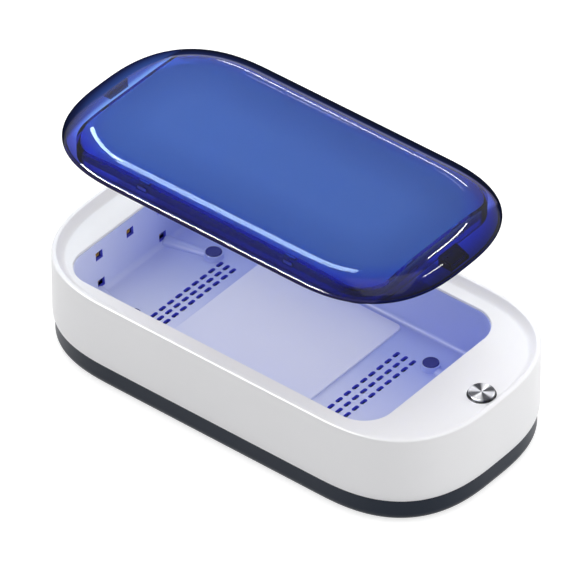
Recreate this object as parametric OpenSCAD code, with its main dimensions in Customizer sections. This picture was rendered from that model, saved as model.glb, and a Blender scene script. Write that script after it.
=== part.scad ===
// UV sanitizer box for phones: a white housing on a dark tray, a lit chamber inside it and a lift-off lid.
// Millimetres. +Z is up, +X points to the button end and -Y is the front.
// Origin: centre of the housing's outline, on the surface that the feet stand on.
// The lid is drawn held above the box by lid_lift. Closed, it sits on the ledge inside the lip.

/* [Housing] */
// Length of the housing
body_l = 226; // [216:1:250]
// Width of the housing
body_w = 116; // [112:1:130]
// Height of the lip above the ground
body_h = 46.6; // [45:0.2:57]
// Reach of the housing's rounded corners along each side
body_r = 55.4; // [48:0.2:56]
// Squareness of the housing's corners, where 2 is a circle
body_p = 2.6; // [2.2:0.05:2.8]
// Wall of the housing
body_wall = 2.4; // [2:0.1:2.8]
// Thickness of the ledge that the lid rests on
ledge_t = 2.4; // [2:0.1:3]
// Drop from the lip to the ledge
ledge_drop = 3.6; // [3:0.1:4.4]
// Width of the lip, down to the foot of its inner slope
lip_w = 5.7; // [5.3:0.1:6]
// Width of the lip's top, out from its inner slope
lip_top = 2.3; // [1.8:0.1:2.6]
// Height of the seam between the housing and the tray
seam_z = 12; // [11.4:0.2:13]
// How far the housing draws in at the seam
seam_inset = 1.1; // [0.6:0.1:1.2]

/* [Tray] */
// Gap that the feet leave under the tray
foot_gap = 0.8; // [0.5:0.1:1.5]
// Floor of the tray
tray_floor = 2.4; // [2:0.1:3]
// Width of the rounding under the tray
tray_round_w = 3; // [2:0.1:4]
// Height of the rounding under the tray
tray_round_h = 4; // [3:0.1:6]
// Height of the tongue that locates the housing on the tray
tongue_h = 2.4; // [1.5:0.1:3]
// Thickness of that tongue
tongue_t = 1.2; // [1:0.1:1.6]
// Radius of each rubber foot
foot_r = 6; // [4:0.5:8]
// Height of each rubber foot
foot_h = 1.8; // [1.6:0.1:2.6]
// Distance between the feet along the box
foot_dx = 150; // [130:1:160]
// Distance between the feet across the box
foot_dy = 64; // [50:1:70]

/* [Chamber] */
// Ledge between the lip and the chamber at the plain end
ledge_left = 13.3; // [12.5:0.1:16.5]
// Ledge between the lip and the chamber at the button end
ledge_right = 28.3; // [27.5:0.1:32.5]
// Ledge between the lip and the chamber along each side
ledge_side = 5.5; // [5.3:0.1:7]
// Radius of the chamber's corners
cavity_r = 14.7; // [10:0.1:18]
// Height of the chamber floor above the ground
floor_z = 16; // [15.4:0.1:17]
// Wall of the chamber tub
tub_wall = 1.4; // [1.2:0.1:1.6]
// Floor of the chamber tub
tub_floor = 1.8; // [1.4:0.1:2]
// How far the tub's walls draw in from top to bottom
tub_draft = 1.6; // [0.8:0.1:2]
// Radius where the tub's walls meet its floor
tub_fillet = 2.5; // [1.5:0.1:4]
// Edge of the tub that shows inside the ledge's opening
tub_step = 0.4; // [0.2:0.1:0.6]
// Distance between the phone posts along the chamber
post_dx = 122; // [118:1:124]
// Distance between the phone posts across the chamber
post_dy = 55.6; // [50:0.2:60]
// Height of each phone post
post_h = 3; // [2.4:0.1:4]
// Radius of each phone post
post_r = 4.2; // [4.1:0.1:4.3]
// Radius of the soft pad in each post
pad_r = 3.7; // [2.4:0.1:3.8]
// Length of the charging plate along the chamber
plate_l = 76.5; // [70:0.5:80]
// Gap between the charging plate and the chamber's sides
plate_side = 5.2; // [4.8:0.1:12]
// Height of the charging plate above the floor
plate_h = 1; // [0.6:0.1:1.6]
// Shift of the charging plate from the middle of the chamber
plate_shift = -3.7; // [-5:0.1:-2]

/* [Vent slots] */
// Length of each vent slot, across the chamber
slot_l = 4.2; // [3:0.1:5]
// Width of each vent slot
slot_w = 2; // [1.6:0.1:2.2]
// Distance between the slots in a row
slot_pitch_y = 5.65; // [5.2:0.05:5.7]
// Slots in each row
slots = 10; // [4:1:10]
// Rows of slots in each band
slot_rows = 3; // [1:1:3]
// Distance between the rows of the band at the plain end
slot_pitch_left = 3.6; // [3:0.1:3.7]
// Distance between the rows of the band at the button end
slot_pitch_right = 4.5; // [3:0.1:5]
// Middle of the band at the plain end, from the middle of the chamber
slots_left = -52; // [-53:0.1:-50]
// Middle of the band at the button end, from the middle of the chamber
slots_right = 48.2; // [46:0.1:50]

/* [Lamps] */
// Width of each lamp window
window_w = 4.6; // [4:0.1:5]
// Height of each lamp window
window_h = 4.2; // [4:0.1:5]
// Distance between the outer windows of an end wall
window_dy = 42; // [36:0.5:46]
// Height of the lower windows above the chamber floor
window_low = 4.1; // [3.8:0.1:6]
// Height of the upper windows above the chamber floor
window_high = 19; // [17:0.1:20]
// Side of each square lamp package
lamp_side = 3.5; // [3:0.1:3.8]
// Thickness of each lamp package
lamp_t = 1.2; // [0.8:0.1:1.3]
// Width of a lamp board
lamp_board_w = 54; // [50:0.5:60]
// Thickness of the small circuit boards
board_t = 1.2; // [0.8:0.1:1.6]

/* [Lid] */
// Height of the lid's lift above its closed place
lid_lift = 65.3; // [60:0.1:80]
// Distance from the housing's plain end to the lid's edge
lid_end_inset = 4.55; // [4.5:0.05:5]
// Distance from the housing's sides to the lid's edge
lid_side_inset = 4.7; // [4.6:0.05:5.2]
// Distance from the housing's button end to the lid's edge
button_bay = 19.9; // [19.5:0.05:21.5]
// Reach of the lid's rounded corners along each side
lid_r = 52.1; // [48:0.1:52.5]
// Squareness of the lid's corners
lid_p = 2.55; // [2.2:0.05:2.6]
// Thickness of the lid's shell
lid_t = 2.2; // [1.8:0.1:2.4]
// Width of the lid's curved shoulder
shoulder_w = 17; // [14:0.5:20]
// Height of the lid's curved shoulder
shoulder_h = 6.5; // [6:0.1:9]
// Extra height of the middle of the lid
crown_h = 0.4; // [0:0.1:1]
// Radius under the lid's rim
rim_r = 1.2; // [0.8:0.1:1.2]
// Depth that the lid's skirt reaches below its rim
skirt_h = 3.7; // [2.5:0.1:5]
// Gap between the lid's skirt and the ledge's opening
skirt_gap = 1.6; // [1.4:0.1:2]
// Thickness of the skirt
skirt_t = 1.5; // [1.2:0.1:2]
// Radius of the skirt's corners
skirt_r = 16; // [15:0.5:20]
// Thickness of the lining plate inside the lid
lining_t = 1.2; // [0.8:0.1:1.5]
// Gap between the lining plate and the shell
lining_gap = 0.3; // [0.2:0.05:0.4]
// Distance between the lining's snap tabs along each side
tab_dx = 80.5; // [60:0.5:100]
// Width of each snap tab
tab_w = 5; // [3:0.5:8]

/* [Magnets] */
// Length of each closing magnet, across the box
magnet_l = 10; // [8:0.5:11]
// Width of each closing magnet
magnet_w = 5; // [4:0.1:5]
// Thickness of each closing magnet
magnet_t = 2.5; // [2:0.1:2.5]

/* [Button] */
// Distance from the housing's button end to the middle of the button
button_inset = 11.5; // [11.3:0.1:12.2]
// Place of the button across the box, from the middle towards the rear
button_y = 1.8; // [0:0.1:2]
// Radius of the button's metal cap
cap_r = 5.9; // [5:0.1:6.1]
// Height of the cap above the ledge
cap_proud = 1.6; // [1.2:0.1:2.4]
// Travel of the button
button_travel = 0.6; // [0.4:0.1:0.8]
// Running clearance round the cap
cap_clear = 0.15; // [0.1:0.05:0.25]
// Wall of the ring round the cap
ring_wall = 0.4; // [0.4:0.05:0.6]

/* [Electronics] */
// Length of the main board along the box
main_l = 40; // [38:0.5:42]
// Distance from the middle of the box to the main board's front edge
main_front = 22.8; // [22:0.1:24]
// Thickness of the main board
main_t = 1.6; // [1:0.1:1.6]
// Distance from the button end of the housing to the middle of the main board
main_inset = 61; // [60:0.5:62]
// Height of the main board's underside above the tray floor
main_lift = 2.4; // [2:0.1:3]
// Radius of the charging coil
coil_r = 22; // [18:0.5:24]
// Thickness of the charging coil
coil_t = 1.2; // [0.8:0.1:1.4]

/* [Hidden] */
// Line segments in each rounded corner, and facets in a full circle
steps = 12;
$fn = 48;
fit = 0.2;          // gap between fixed pieces that slide together
cut = 0.5;          // how far a cutting shape reaches past the face it opens
seat_gap = 0.1;     // closed gap between the lid's rim and the ledge
boss_r = 3.5;       // long screw posts inside the housing
screw_r = 1.4;      // shank of the long case screws
small_screw_r = 0.9; // shank of the small screws
small_head_r = 1.9;
small_head_h = 1.2;
small_bite = 4.4;   // depth that a small screw reaches into the post behind its board or lug
screw_clear = 0.1;  // gap round a screw's shank in its post
tip_gap = 0.4;      // gap past a screw's tip
lip_round = 1;      // rounding over the lip's outer edge
seam_round = 5;     // height over which the housing draws in at the seam

// Housing and tray
ledge_z = body_h - ledge_drop;
ledge_under_z = ledge_z - ledge_t;
tray_z = foot_gap;
tray_top_z = tray_z + tray_floor;
tongue_inset = body_wall + fit;
foot_sink = foot_h - foot_gap;

// Chamber: opening in the ledge, tub inside it
cavity_l = body_l - 2 * lip_w - ledge_left - ledge_right;
cavity_w = body_w - 2 * lip_w - 2 * ledge_side;
cavity_x = (ledge_left - ledge_right) / 2;
tub_out = tub_wall - tub_step;             // the tub's wall behind the edge of the opening
collar_z = ledge_z - ledge_t / 2;          // top of the tub, under the thinned edge of the ledge
flange_w = 1.5;
flange_t = 1.6;
tub_under_z = floor_z - tub_floor;
plate_w = cavity_w - 2 * plate_side;
post_foot_r = post_r + 0.3;
pad_sink = 0.8;                            // depth of each pad's cup
pad_t = 1.2;
ridge_wall_r = 3.4;                        // ridges that brace the posts, at the end wall and at the post
ridge_post_r = 2.2;
ridge_sink = 0.4;
ridge_turn = 13;
ferrite_side = 2 * coil_r + 4;
ferrite_t = 0.8;
lug_z = ledge_under_z - 6;                 // screwed lugs on the tub's long sides
lug_t = 1.6;
lug_post_r = 3;
lug_r = 2.4;
lug_inset = 26.5;                          // from the chamber's ends to the lugs
lug_dx = cavity_l - 2 * lug_inset;
lug_y = cavity_w / 2 + tub_out + flange_w + fit + lug_post_r;
plate_x = cavity_x + plate_shift;

// Lamp boards stand behind the tub's end walls
lamp_face = cavity_l / 2 + tub_out + 1;    // distance of a board's face from the middle of the chamber
lamp_board_h = 20.5;
lamp_board_z = floor_z + 0.5;
lamp_screw_dy = 22;
lamp_bite = 2.2;                           // depth that a lamp board's screw reaches into its boss
lamp_screw_z = floor_z + (window_low + window_high) / 2;
lamp_places = [[-window_dy / 2, window_low], [window_dy / 2, window_low],
               [-window_dy / 2, window_high], [0, window_high], [window_dy / 2, window_high]];

// Lid
lid_l = body_l - lid_end_inset - button_bay;
lid_w = body_w - 2 * lid_side_inset;
lid_x = (lid_end_inset - button_bay) / 2;
lid_z = ledge_z + seat_gap + rim_r + lid_lift;  // height of the lid's widest line as drawn
skirt_l = cavity_l - 2 * skirt_gap;
skirt_w = cavity_w - 2 * skirt_gap;
skirt_z = -rim_r - skirt_h;
tab_h = 1.8;
tab_z = -1.6;
tab_dy = 31.6;
lining_z = tab_z - 0.6;                    // lower edge of the lining's rim
lid_magnet_z = -rim_r + 0.3;               // underside of the lid's magnets

// Magnets: each pair meets through the ledge
magnet_inset = 6.8;                        // from the lid's ends to the magnets
magnet_left_x = -body_l / 2 + lid_end_inset + magnet_inset;
magnet_right_x = body_l / 2 - button_bay - magnet_inset;
pocket_wall = 1;

// Button stack, from the cap down
button_x = body_l / 2 - button_inset;
cap_top_z = ledge_z + cap_proud;
cap_t = 3.4;
ring_in_r = cap_r + cap_clear;
ring_r = ring_in_r + ring_wall;
ring_foot_r = ring_r + 1;
ring_foot_t = 1;
carrier_z = ledge_under_z - ring_foot_t - 0.2;  // top of the carrier's flange, under the ring
carrier_t = 1.2;
switch_side = 6;
switch_h = 3.5;
stem_r = 1.7;
stem_sink = 1.6;
stem_l = 3.3;
switch_top_z = carrier_z - carrier_t - stem_l + 1 - 0.4;
button_board_z = switch_top_z - switch_h - board_t;
button_board_l = 20;
button_board_back = 3;                     // how far the board sits back from the button, towards the chamber
sensor = [2, 3, 1.1];
button_board_w = 30;
button_post_dy = 23;
button_post_r = 2.6;

// Main board and charging inlet
main_z = tray_top_z + main_lift;
main_x = body_l / 2 - main_inset;
main_w = body_w / 2 - tongue_inset - tongue_t - 2 + main_front;
main_y = main_w / 2 - main_front;
main_screw_inset = [3.5, 6.5];             // from the board's edges to its screws
main_screw_dx = main_l - 2 * main_screw_inset.x;
main_screw_dy = main_w - 2 * main_screw_inset.y;
main_post_r = 3;
inlet_w = 8.9;
inlet_h = 3.2;
inlet_l = 7.4;
inlet_y = body_w / 2 - seam_inset - 1;     // mouth of the inlet
inlet_z = main_z + main_t + inlet_h / 2;
inlet_edge = 0.3;                          // gap round the inlet in the tray's wall
plug_l = 11.6;                             // shallow recess for a plug's moulding
plug_h = 5.6;
plug_sink = 0.6;
inductor_side = 9;
inductor_h = 4;
chips = [[4, -6, 7, 7], [-12, 8, 5, 4], [4, 12, 4, 5]];  // place on the main board, length and width
chip_h = 1.2;

// Case screws
case_left_inset = 9.5;                     // from the plain end to its screws
case_left_dy = 40;
case_right_inset = 21;                     // from the button end to its screws
case_side_inset = 22;                      // from the housing's sides to those screws
case_right_dy = body_w - 2 * case_side_inset;
case_bite = 7.5;                           // depth that a case screw reaches into its post
case_places = [for (y = [-1, 1]) each [[case_left_inset - body_l / 2, y * case_left_dy / 2],
                                       [body_l / 2 - case_right_inset, y * case_right_dy / 2]]];
case_post_r = 4.4;
case_seat_z = tray_top_z + 2.8;
case_head_r = 2.8;
case_head_h = 1.8;

// Ribbon cables and their plugs
ribbon_w = 5;
ribbon_t = 0.8;
plug_block = [4, 7, 2.6];
ribbon_low_z = tray_top_z + ribbon_t / 2;
ribbon_high_z = main_z + main_t + plug_block.z / 2;
lamp_back = lamp_face + board_t;
lamp_plug_z = lamp_board_z + 1;
plug_first = 12.8;                         // from the main board's front edge to the first plug
plug_pitch = 10;                           // between the plugs, along the board's end edges
right_ribbon_y = plug_first - main_front;
left_ribbon_y = right_ribbon_y + plug_pitch;
button_ribbon_y = left_ribbon_y + plug_pitch;
button_plug_back = 8;                      // from the button's middle back to the plug under its board
button_plug_x = button_x - button_plug_back;
plug_inset = 1;                            // from the main board's edge to its plugs
ribbon_lead = 3;                           // straight part of a ribbon behind its plug
ribbon_bend = 4;                           // foot of a ribbon's upright end

// ---- Shared shapes ----

// One rounded corner, from +X round to +Y
function corner(r, p) =
    [for (i = [0:steps]) let (a = 90 * i / steps) r * [pow(cos(a), 2 / p), pow(sin(a), 2 / p)]];

// Closed outline of an oblong with rounded corners
function oblong(l, w, r, p = 2) =
    let (q = corner(r, p), x = l / 2 - r, y = w / 2 - r, n = len(q) - 1)
    concat([for (v = q) [x + v.x, y + v.y]],
           [for (i = [n:-1:0]) [-x - q[i].x, y + q[i].y]],
           [for (v = q) [-x - v.x, -y - v.y]],
           [for (i = [n:-1:0]) [x + q[i].x, -y - q[i].y]]);

// Solid skinned through level rings of that outline, each given as [inset, z]
module loft(l, w, r, p, rings) {
    n = 4 * (steps + 1);
    points = [for (g = rings, v = oblong(l - 2 * g[0], w - 2 * g[0], max(r - g[0], 1), p)) [v.x, v.y, g[1]]];
    sides = [for (k = [0:len(rings) - 2]) for (i = [0:n - 1])
                let (a = k * n + i, b = k * n + (i + 1) % n)
                each [[a, a + n, b + n], [a, b + n, b]]];
    last = (len(rings) - 1) * n;
    polyhedron(points, concat([[for (i = [0:n - 1]) i]], sides, [[for (i = [n - 1:-1:0]) last + i]]));
}

// Upright prism of that outline
module prism(l, w, r, p, z0, z1) translate([0, 0, z0]) linear_extrude(z1 - z0) polygon(oblong(l, w, r, p));

// Upright slab with true round corners
module slab(l, w, r, z0, z1) translate([0, 0, z0]) linear_extrude(z1 - z0) {
    square([l - 2 * r, w], center = true);
    square([l, w - 2 * r], center = true);
    for (x = [-1, 1], y = [-1, 1]) translate([x * (l / 2 - r), y * (w / 2 - r)]) circle(r);
}

// Post from z0 up to z1 with a blind hole in one end
module post(r, hole_r, z0, z1, depth, hole_up = true) difference() {
    translate([0, 0, z0]) cylinder(r = r, h = z1 - z0);
    translate([0, 0, hole_up ? z1 - depth : z0 - cut]) cylinder(r = hole_r, h = depth + cut);
}

// Cross-head screw: its shank runs up from z = 0 and its head hangs below
module screw(head_r, head_h, shank_r, shank_l) difference() {
    union() {
        translate([0, 0, -head_h]) cylinder(r1 = head_r * 0.86, r2 = head_r, h = head_h);
        cylinder(r = shank_r, h = shank_l);
    }
    for (a = [0, 90]) rotate(a) translate([0, 0, -head_h]) cube([head_r, 0.5, head_h * 0.9], center = true);
}

// Level slot with round ends, seen from the front, running along -Y from y = 0
module stadium(w, h, depth) rotate([90, 0, 0]) linear_extrude(depth) {
    square([w - h, h], center = true);
    for (s = [-1, 1]) translate([s * (w - h) / 2, 0]) circle(h / 2);
}

// Strip of even thickness along a bent line
function unit(v) = v / norm(v);
function left_of(v) = [-v.y, v.x];
function side_at(path, i) =
    let (n = len(path) - 1,
         a = left_of(unit(path[max(i, 1)] - path[max(i, 1) - 1])),
         b = left_of(unit(path[min(i, n - 1) + 1] - path[min(i, n - 1)])))
    (a + b) / (1 + a * b);
function strip(path, t) =
    concat([for (i = [0:len(path) - 1]) path[i] + t / 2 * side_at(path, i)],
           [for (i = [len(path) - 1:-1:0]) path[i] - t / 2 * side_at(path, i)]);
module ribbon(path, y) color("gainsboro") translate([0, y + ribbon_w / 2, 0]) rotate([90, 0, 0])
    linear_extrude(ribbon_w) polygon(strip(path, ribbon_t));

module at_ends() for (s = [-1, 1]) translate([cavity_x, 0, 0]) scale_x(s) children();
module scale_x(s) mirror([s < 0 ? 1 : 0, 0, 0]) children();
module at_four(dx, dy) for (x = [-1, 1], y = [-1, 1]) translate([x * dx / 2, y * dy / 2, 0]) children();

// ---- Housing ----

// Outer skin: drawn in at the seam, upright, and rounded over at the lip
function housing_rings() = concat(
    [for (a = [90:-30:0]) [seam_inset * (1 - cos(a)), seam_z + seam_round * (1 - sin(a))]],
    [for (a = [0:30:90]) [lip_round * (1 - cos(a)), body_h - lip_round * (1 - sin(a))]]);

// Lip's inner side: rounded over, then a hollow slope down to the ledge
function recess_rings() = concat(
    [for (t = [0, 0.15, 0.35, 0.6, 0.8, 1])
        [lip_w - (lip_w - lip_top) * t, ledge_z + (ledge_drop - 0.25) * pow(t, 1.8)]],
    [[lip_top - 0.3, body_h - 0.05], [lip_top - 0.4, body_h + cut]]);

module housing() color("white") difference() {
    union() {
        difference() {
            loft(body_l, body_w, body_r, body_p, housing_rings());
            loft(body_l, body_w, body_r, body_p, recess_rings());
            prism(body_l - 2 * body_wall, body_w - 2 * body_wall, body_r - body_wall, body_p,
                  seam_z - cut, ledge_under_z);
        }
        for (c = case_places) translate(c)
            post(boss_r, screw_r + screw_clear, case_seat_z, ledge_under_z, case_bite + 1.5, hole_up = false);
        translate([cavity_x, 0, 0]) at_four(lug_dx, 2 * lug_y)
            post(lug_post_r, small_screw_r + screw_clear, lug_z, ledge_under_z, small_bite + tip_gap,
                 hole_up = false);
        for (y = [-1, 1]) translate([button_x, button_y + y * button_post_dy / 2, 0])
            post(button_post_r, small_screw_r + screw_clear, button_board_z + board_t, ledge_under_z,
                 small_bite + tip_gap, hole_up = false);
        for (x = [magnet_left_x, magnet_right_x]) translate([x, 0, 0])
            magnet_pocket(ledge_under_z - magnet_t, magnet_t);
    }
    translate([cavity_x, 0, 0]) {
        slab(cavity_l, cavity_w, cavity_r, collar_z - cut, ledge_z + cut);
        slab(cavity_l + 2 * (tub_out + fit), cavity_w + 2 * (tub_out + fit), cavity_r + tub_out + fit,
             ledge_under_z - cut, collar_z);
    }
    translate([button_x, button_y, ledge_under_z - cut]) cylinder(r = ring_r + 0.05, h = ledge_t + 2 * cut);
}

// Wall round a magnet, open above and below
module magnet_pocket(z, h) difference() {
    translate([-magnet_w / 2 - pocket_wall, -magnet_l / 2 - pocket_wall, z])
        cube([magnet_w + 2 * pocket_wall, magnet_l + 2 * pocket_wall, h]);
    translate([-magnet_w / 2 - fit / 2, -magnet_l / 2 - fit / 2, z - cut])
        cube([magnet_w + fit, magnet_l + fit, h + 2 * cut]);
}

module magnet(x, z) color("dimgray") translate([x - magnet_w / 2, -magnet_l / 2, z])
    cube([magnet_w, magnet_l, magnet_t]);
module housing_magnet_left() magnet(magnet_left_x, ledge_under_z - magnet_t);
module housing_magnet_right() magnet(magnet_right_x, ledge_under_z - magnet_t);

// ---- Tray ----

function tray_rings() = concat(
    [for (a = [90:-22.5:0]) [seam_inset + tray_round_w * (1 - cos(a)), tray_z + tray_round_h * (1 - sin(a))]],
    [[seam_inset, seam_z]]);

module tray() color("slategray") difference() {
    union() {
        difference() {
            union() {
                loft(body_l, body_w, body_r, body_p, tray_rings());
                prism(body_l - 2 * tongue_inset, body_w - 2 * tongue_inset, body_r - tongue_inset, body_p,
                      seam_z - cut, seam_z + tongue_h);
            }
            prism(body_l - 2 * (tongue_inset + tongue_t), body_w - 2 * (tongue_inset + tongue_t),
                  body_r - tongue_inset - tongue_t, body_p, tray_top_z + 1, seam_z + tongue_h + cut);
            prism(body_l - 2 * (tongue_inset + tongue_t + 1), body_w - 2 * (tongue_inset + tongue_t + 1),
                  body_r - tongue_inset - tongue_t - 1, body_p, tray_top_z, tray_top_z + 1 + cut);
        }
        for (c = case_places) translate([c.x, c.y, tray_z])
            cylinder(r = case_post_r, h = case_seat_z - tray_z);
        translate([main_x, main_y, 0]) at_four(main_screw_dx, main_screw_dy)
            post(main_post_r, small_screw_r + screw_clear, tray_z + 1, main_z, main_lift + 1);
    }
    for (c = case_places) translate([c.x, c.y, 0]) {
        cylinder(r = case_head_r + fit, h = tray_top_z);
        cylinder(r = screw_r + fit, h = case_seat_z + cut);
    }
    at_four(foot_dx, foot_dy) cylinder(r = foot_r + fit / 2, h = tray_z + foot_sink);
    translate([main_x, body_w / 2, inlet_z]) {
        stadium(inlet_w + 2 * inlet_edge, inlet_h + 2 * inlet_edge,
                seam_inset + tongue_inset + tongue_t + cut);
        stadium(plug_l, plug_h, seam_inset + plug_sink);
    }
}

module rubber_feet() color("dimgray") at_four(foot_dx, foot_dy) rotate_extrude()
    polygon([[0, 0], [foot_r - 0.6, 0], [foot_r, 0.6], [foot_r, foot_h], [0, foot_h]]);

module case_screws() color("silver") for (c = case_places) translate([c.x, c.y, tray_top_z])
    screw(case_head_r, case_head_h, screw_r, case_seat_z - tray_top_z + case_bite);

// ---- Chamber ----

function tub_rings(out) = concat(
    [for (a = [90:-30:0]) [tub_step + tub_draft - out + (tub_fillet + (out > 0 ? 0.5 : 0)) * (1 - cos(a)),
                           (out > 0 ? tub_under_z : floor_z) + tub_fillet * (1 - sin(a))]],
    [[tub_step - out, collar_z + (out > 0 ? 0 : cut)]]);

module chamber_tub() color("lavender") translate([cavity_x, 0, 0]) {
    difference() {
        union() {
            loft(cavity_l, cavity_w, cavity_r, 2, tub_rings(tub_wall));
            slab(cavity_l + 2 * (tub_out + flange_w), cavity_w + 2 * (tub_out + flange_w),
                 cavity_r + tub_out + flange_w, ledge_under_z - flange_t, ledge_under_z);
            for (x = [-1, 1]) translate([x * lug_dx / 2, 0, lug_z - lug_t]) lug_bar();
            for (s = [-1, 1]) scale_x(s) lamp_posts();
        }
        loft(cavity_l, cavity_w, cavity_r, 2, tub_rings(0));
        for (s = [-1, 1]) scale_x(s) {
            for (w = lamp_places) translate([cavity_l / 2, w[0], floor_z + w[1]])
                cube([2 * (tub_draft + tub_wall + 1), window_w, window_h], center = true);
            for (y = [-1, 1]) translate([lamp_face + cut, y * lamp_screw_dy / 2, lamp_screw_z])
                rotate([0, -90, 0]) cylinder(r = small_screw_r + screw_clear, h = lamp_bite + 0.2 + cut);
        }
        at_four(lug_dx, 2 * lug_y) translate([0, 0, lug_z - lug_t - cut])
            cylinder(r = small_screw_r + fit, h = lug_t + 2 * cut);
        slot_band(slots_left, slot_pitch_left);
        slot_band(slots_right, slot_pitch_right);
    }
    at_four(post_dx, post_dy) phone_post();
    for (s = [-1, 1], y = [-1, 1]) scale_x(s) mirror([0, y < 0 ? 1 : 0, 0]) ridge();
}

// Pair of lugs that hang the tub from posts under the ledge, before the chamber is cut through the bar
module lug_bar() {
    translate([-lug_r, -lug_y, 0]) cube([2 * lug_r, 2 * lug_y, lug_t]);
    for (y = [-1, 1]) translate([0, y * lug_y, 0]) cylinder(r = lug_r, h = lug_t);
}

// Bosses that a lamp board is screwed to, behind an end wall
module lamp_posts() for (y = [-1, 1]) translate([lamp_face, y * lamp_screw_dy / 2, lamp_screw_z])
    rotate([0, -90, 0]) cylinder(r = 2.6, h = lamp_face - cavity_l / 2 + tub_step + tub_draft / 2 - 0.3);

module slot_band(x, pitch) for (i = [0:slot_rows - 1], j = [0:slots - 1])
    translate([x + (i - (slot_rows - 1) / 2) * pitch, (j - (slots - 1) / 2) * slot_pitch_y,
               tub_under_z - cut])
        linear_extrude(tub_floor + 2 * cut) {
            square([slot_w, slot_l - slot_w], center = true);
            for (s = [-1, 1]) translate([0, s * (slot_l - slot_w) / 2]) circle(slot_w / 2);
        }

// Post that a phone rests on: flared foot, and a cup for its pad
module phone_post() translate([0, 0, floor_z]) rotate_extrude() polygon(concat(
    [[0, -cut], [post_foot_r, -cut]],
    [for (a = [0:30:90]) [post_r + (post_foot_r - post_r) * (1 - sin(a)), 1.5 * (1 - cos(a))]],
    [[post_r, post_h], [pad_r + fit / 2, post_h], [pad_r + fit / 2, post_h - pad_sink],
     [0, post_h - pad_sink]]));

module post_pads() color("midnightblue") translate([cavity_x, 0, floor_z + post_h - pad_sink])
    at_four(post_dx, post_dy) rotate_extrude()
        polygon([[0, 0], [pad_r, 0], [pad_r, pad_t - 0.2], [pad_r - 0.3, pad_t], [pad_r * 0.6, pad_t - 0.15],
                 [0, pad_t - 0.2]]);

// Tapered ridge that braces a post against the end wall
module ridge() {
    start = (post_dx + post_r) / 2;
    reach = cavity_l / 2 - tub_step - tub_draft + 0.6 - start;
    intersection() {
        translate([start, post_dy / 2, floor_z - ridge_sink]) rotate([0, 0, -ridge_turn]) rotate([0, 90, 0])
            cylinder(r1 = ridge_post_r, r2 = ridge_wall_r, h = reach);
        translate([0, 0, floor_z - cut]) cube([cavity_l / 2, cavity_w / 2, ridge_wall_r + cut]);
    }
}

module tub_screws() color("silver") translate([cavity_x, 0, lug_z - lug_t]) at_four(lug_dx, 2 * lug_y)
    screw(small_head_r, small_head_h, small_screw_r, lug_t + small_bite);

module charging_plate() color("aliceblue") translate([plate_x, 0, floor_z])
    loft(plate_l, plate_w, 3, 2, [[0, 0], [0, plate_h - 0.4], [0.4, plate_h]]);

module charging_coil() color("peru") translate([plate_x, 0, tub_under_z - coil_t]) rotate_extrude()
    polygon([[coil_r * 0.45, 0], [coil_r - 0.3, 0], [coil_r, 0.3], [coil_r, coil_t],
             [coil_r * 0.45, coil_t]]);

module ferrite_sheet() color("darkslategray") translate([plate_x, 0, 0])
    slab(ferrite_side, ferrite_side, 3, tub_under_z - coil_t - ferrite_t, tub_under_z - coil_t);

// ---- Lamps ----

module lamp_board(s) color("whitesmoke") translate([cavity_x, 0, 0]) scale_x(s) difference() {
    translate([lamp_face, 0, lamp_board_z + lamp_board_h / 2]) rotate([0, 90, 0])
        slab(lamp_board_h, lamp_board_w, 2, 0, board_t);
    for (y = [-1, 1]) translate([lamp_face - cut, y * lamp_screw_dy / 2, lamp_screw_z]) rotate([0, 90, 0])
        cylinder(r = small_screw_r + fit, h = board_t + 2 * cut);
}
module lamp_board_left() lamp_board(-1);
module lamp_board_right() lamp_board(1);

// Square ceramic package with a chip in its dished face
module lamp() difference() {
    translate([-lamp_t, -lamp_side / 2, -lamp_side / 2]) cube([lamp_t, lamp_side, lamp_side]);
    translate([-lamp_t - cut, 0, 0]) rotate([0, 90, 0]) cylinder(r = lamp_side * 0.38, h = cut + 0.4);
}
module lamps(s) color("goldenrod") translate([cavity_x, 0, 0]) scale_x(s)
    for (w = lamp_places) translate([lamp_face, w[0], floor_z + w[1]]) lamp();
module lamps_left() lamps(-1);
module lamps_right() lamps(1);

module lamp_board_screws() color("silver") at_ends() for (y = [-1, 1])
    translate([lamp_back, y * lamp_screw_dy / 2, lamp_screw_z]) rotate([0, -90, 0])
        screw(small_head_r, small_head_h, small_screw_r, board_t + lamp_bite);

// ---- Button ----

module button_ring() color("dimgray") translate([button_x, button_y, 0]) rotate_extrude()
    polygon([[ring_in_r, ledge_under_z - ring_foot_t], [ring_foot_r, ledge_under_z - ring_foot_t],
             [ring_foot_r, ledge_under_z], [ring_r, ledge_under_z], [ring_r, ledge_z + 0.2],
             [ring_r - 0.2, ledge_z + 0.4], [ring_in_r, ledge_z + 0.4]]);

// Spun metal cap: bevelled rim and a faint dish
module button_cap() color("silver") translate([button_x, button_y, cap_top_z]) rotate_extrude()
    polygon([[0, -cap_t], [cap_r, -cap_t], [cap_r, -0.5], [cap_r - 0.35, 0], [cap_r * 0.6, -0.06],
             [0, -0.1]]);

module button_carrier() color("white") translate([button_x, button_y, carrier_z]) {
    translate([0, 0, -carrier_t]) cylinder(r = ring_foot_r, h = carrier_t);
    cylinder(r = cap_r - 0.5, h = cap_top_z - cap_t - carrier_z);
}

module switch_stem() color("black") translate([button_x, button_y, carrier_z - carrier_t - stem_l])
    cylinder(r = stem_r, h = stem_l);

module push_switch() color("black") translate([button_x, button_y, switch_top_z]) difference() {
    translate([0, 0, -switch_h / 2]) cube([switch_side, switch_side, switch_h], center = true);
    translate([0, 0, -stem_sink]) cylinder(r = stem_r + 0.1, h = stem_sink + cut);
}

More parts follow.
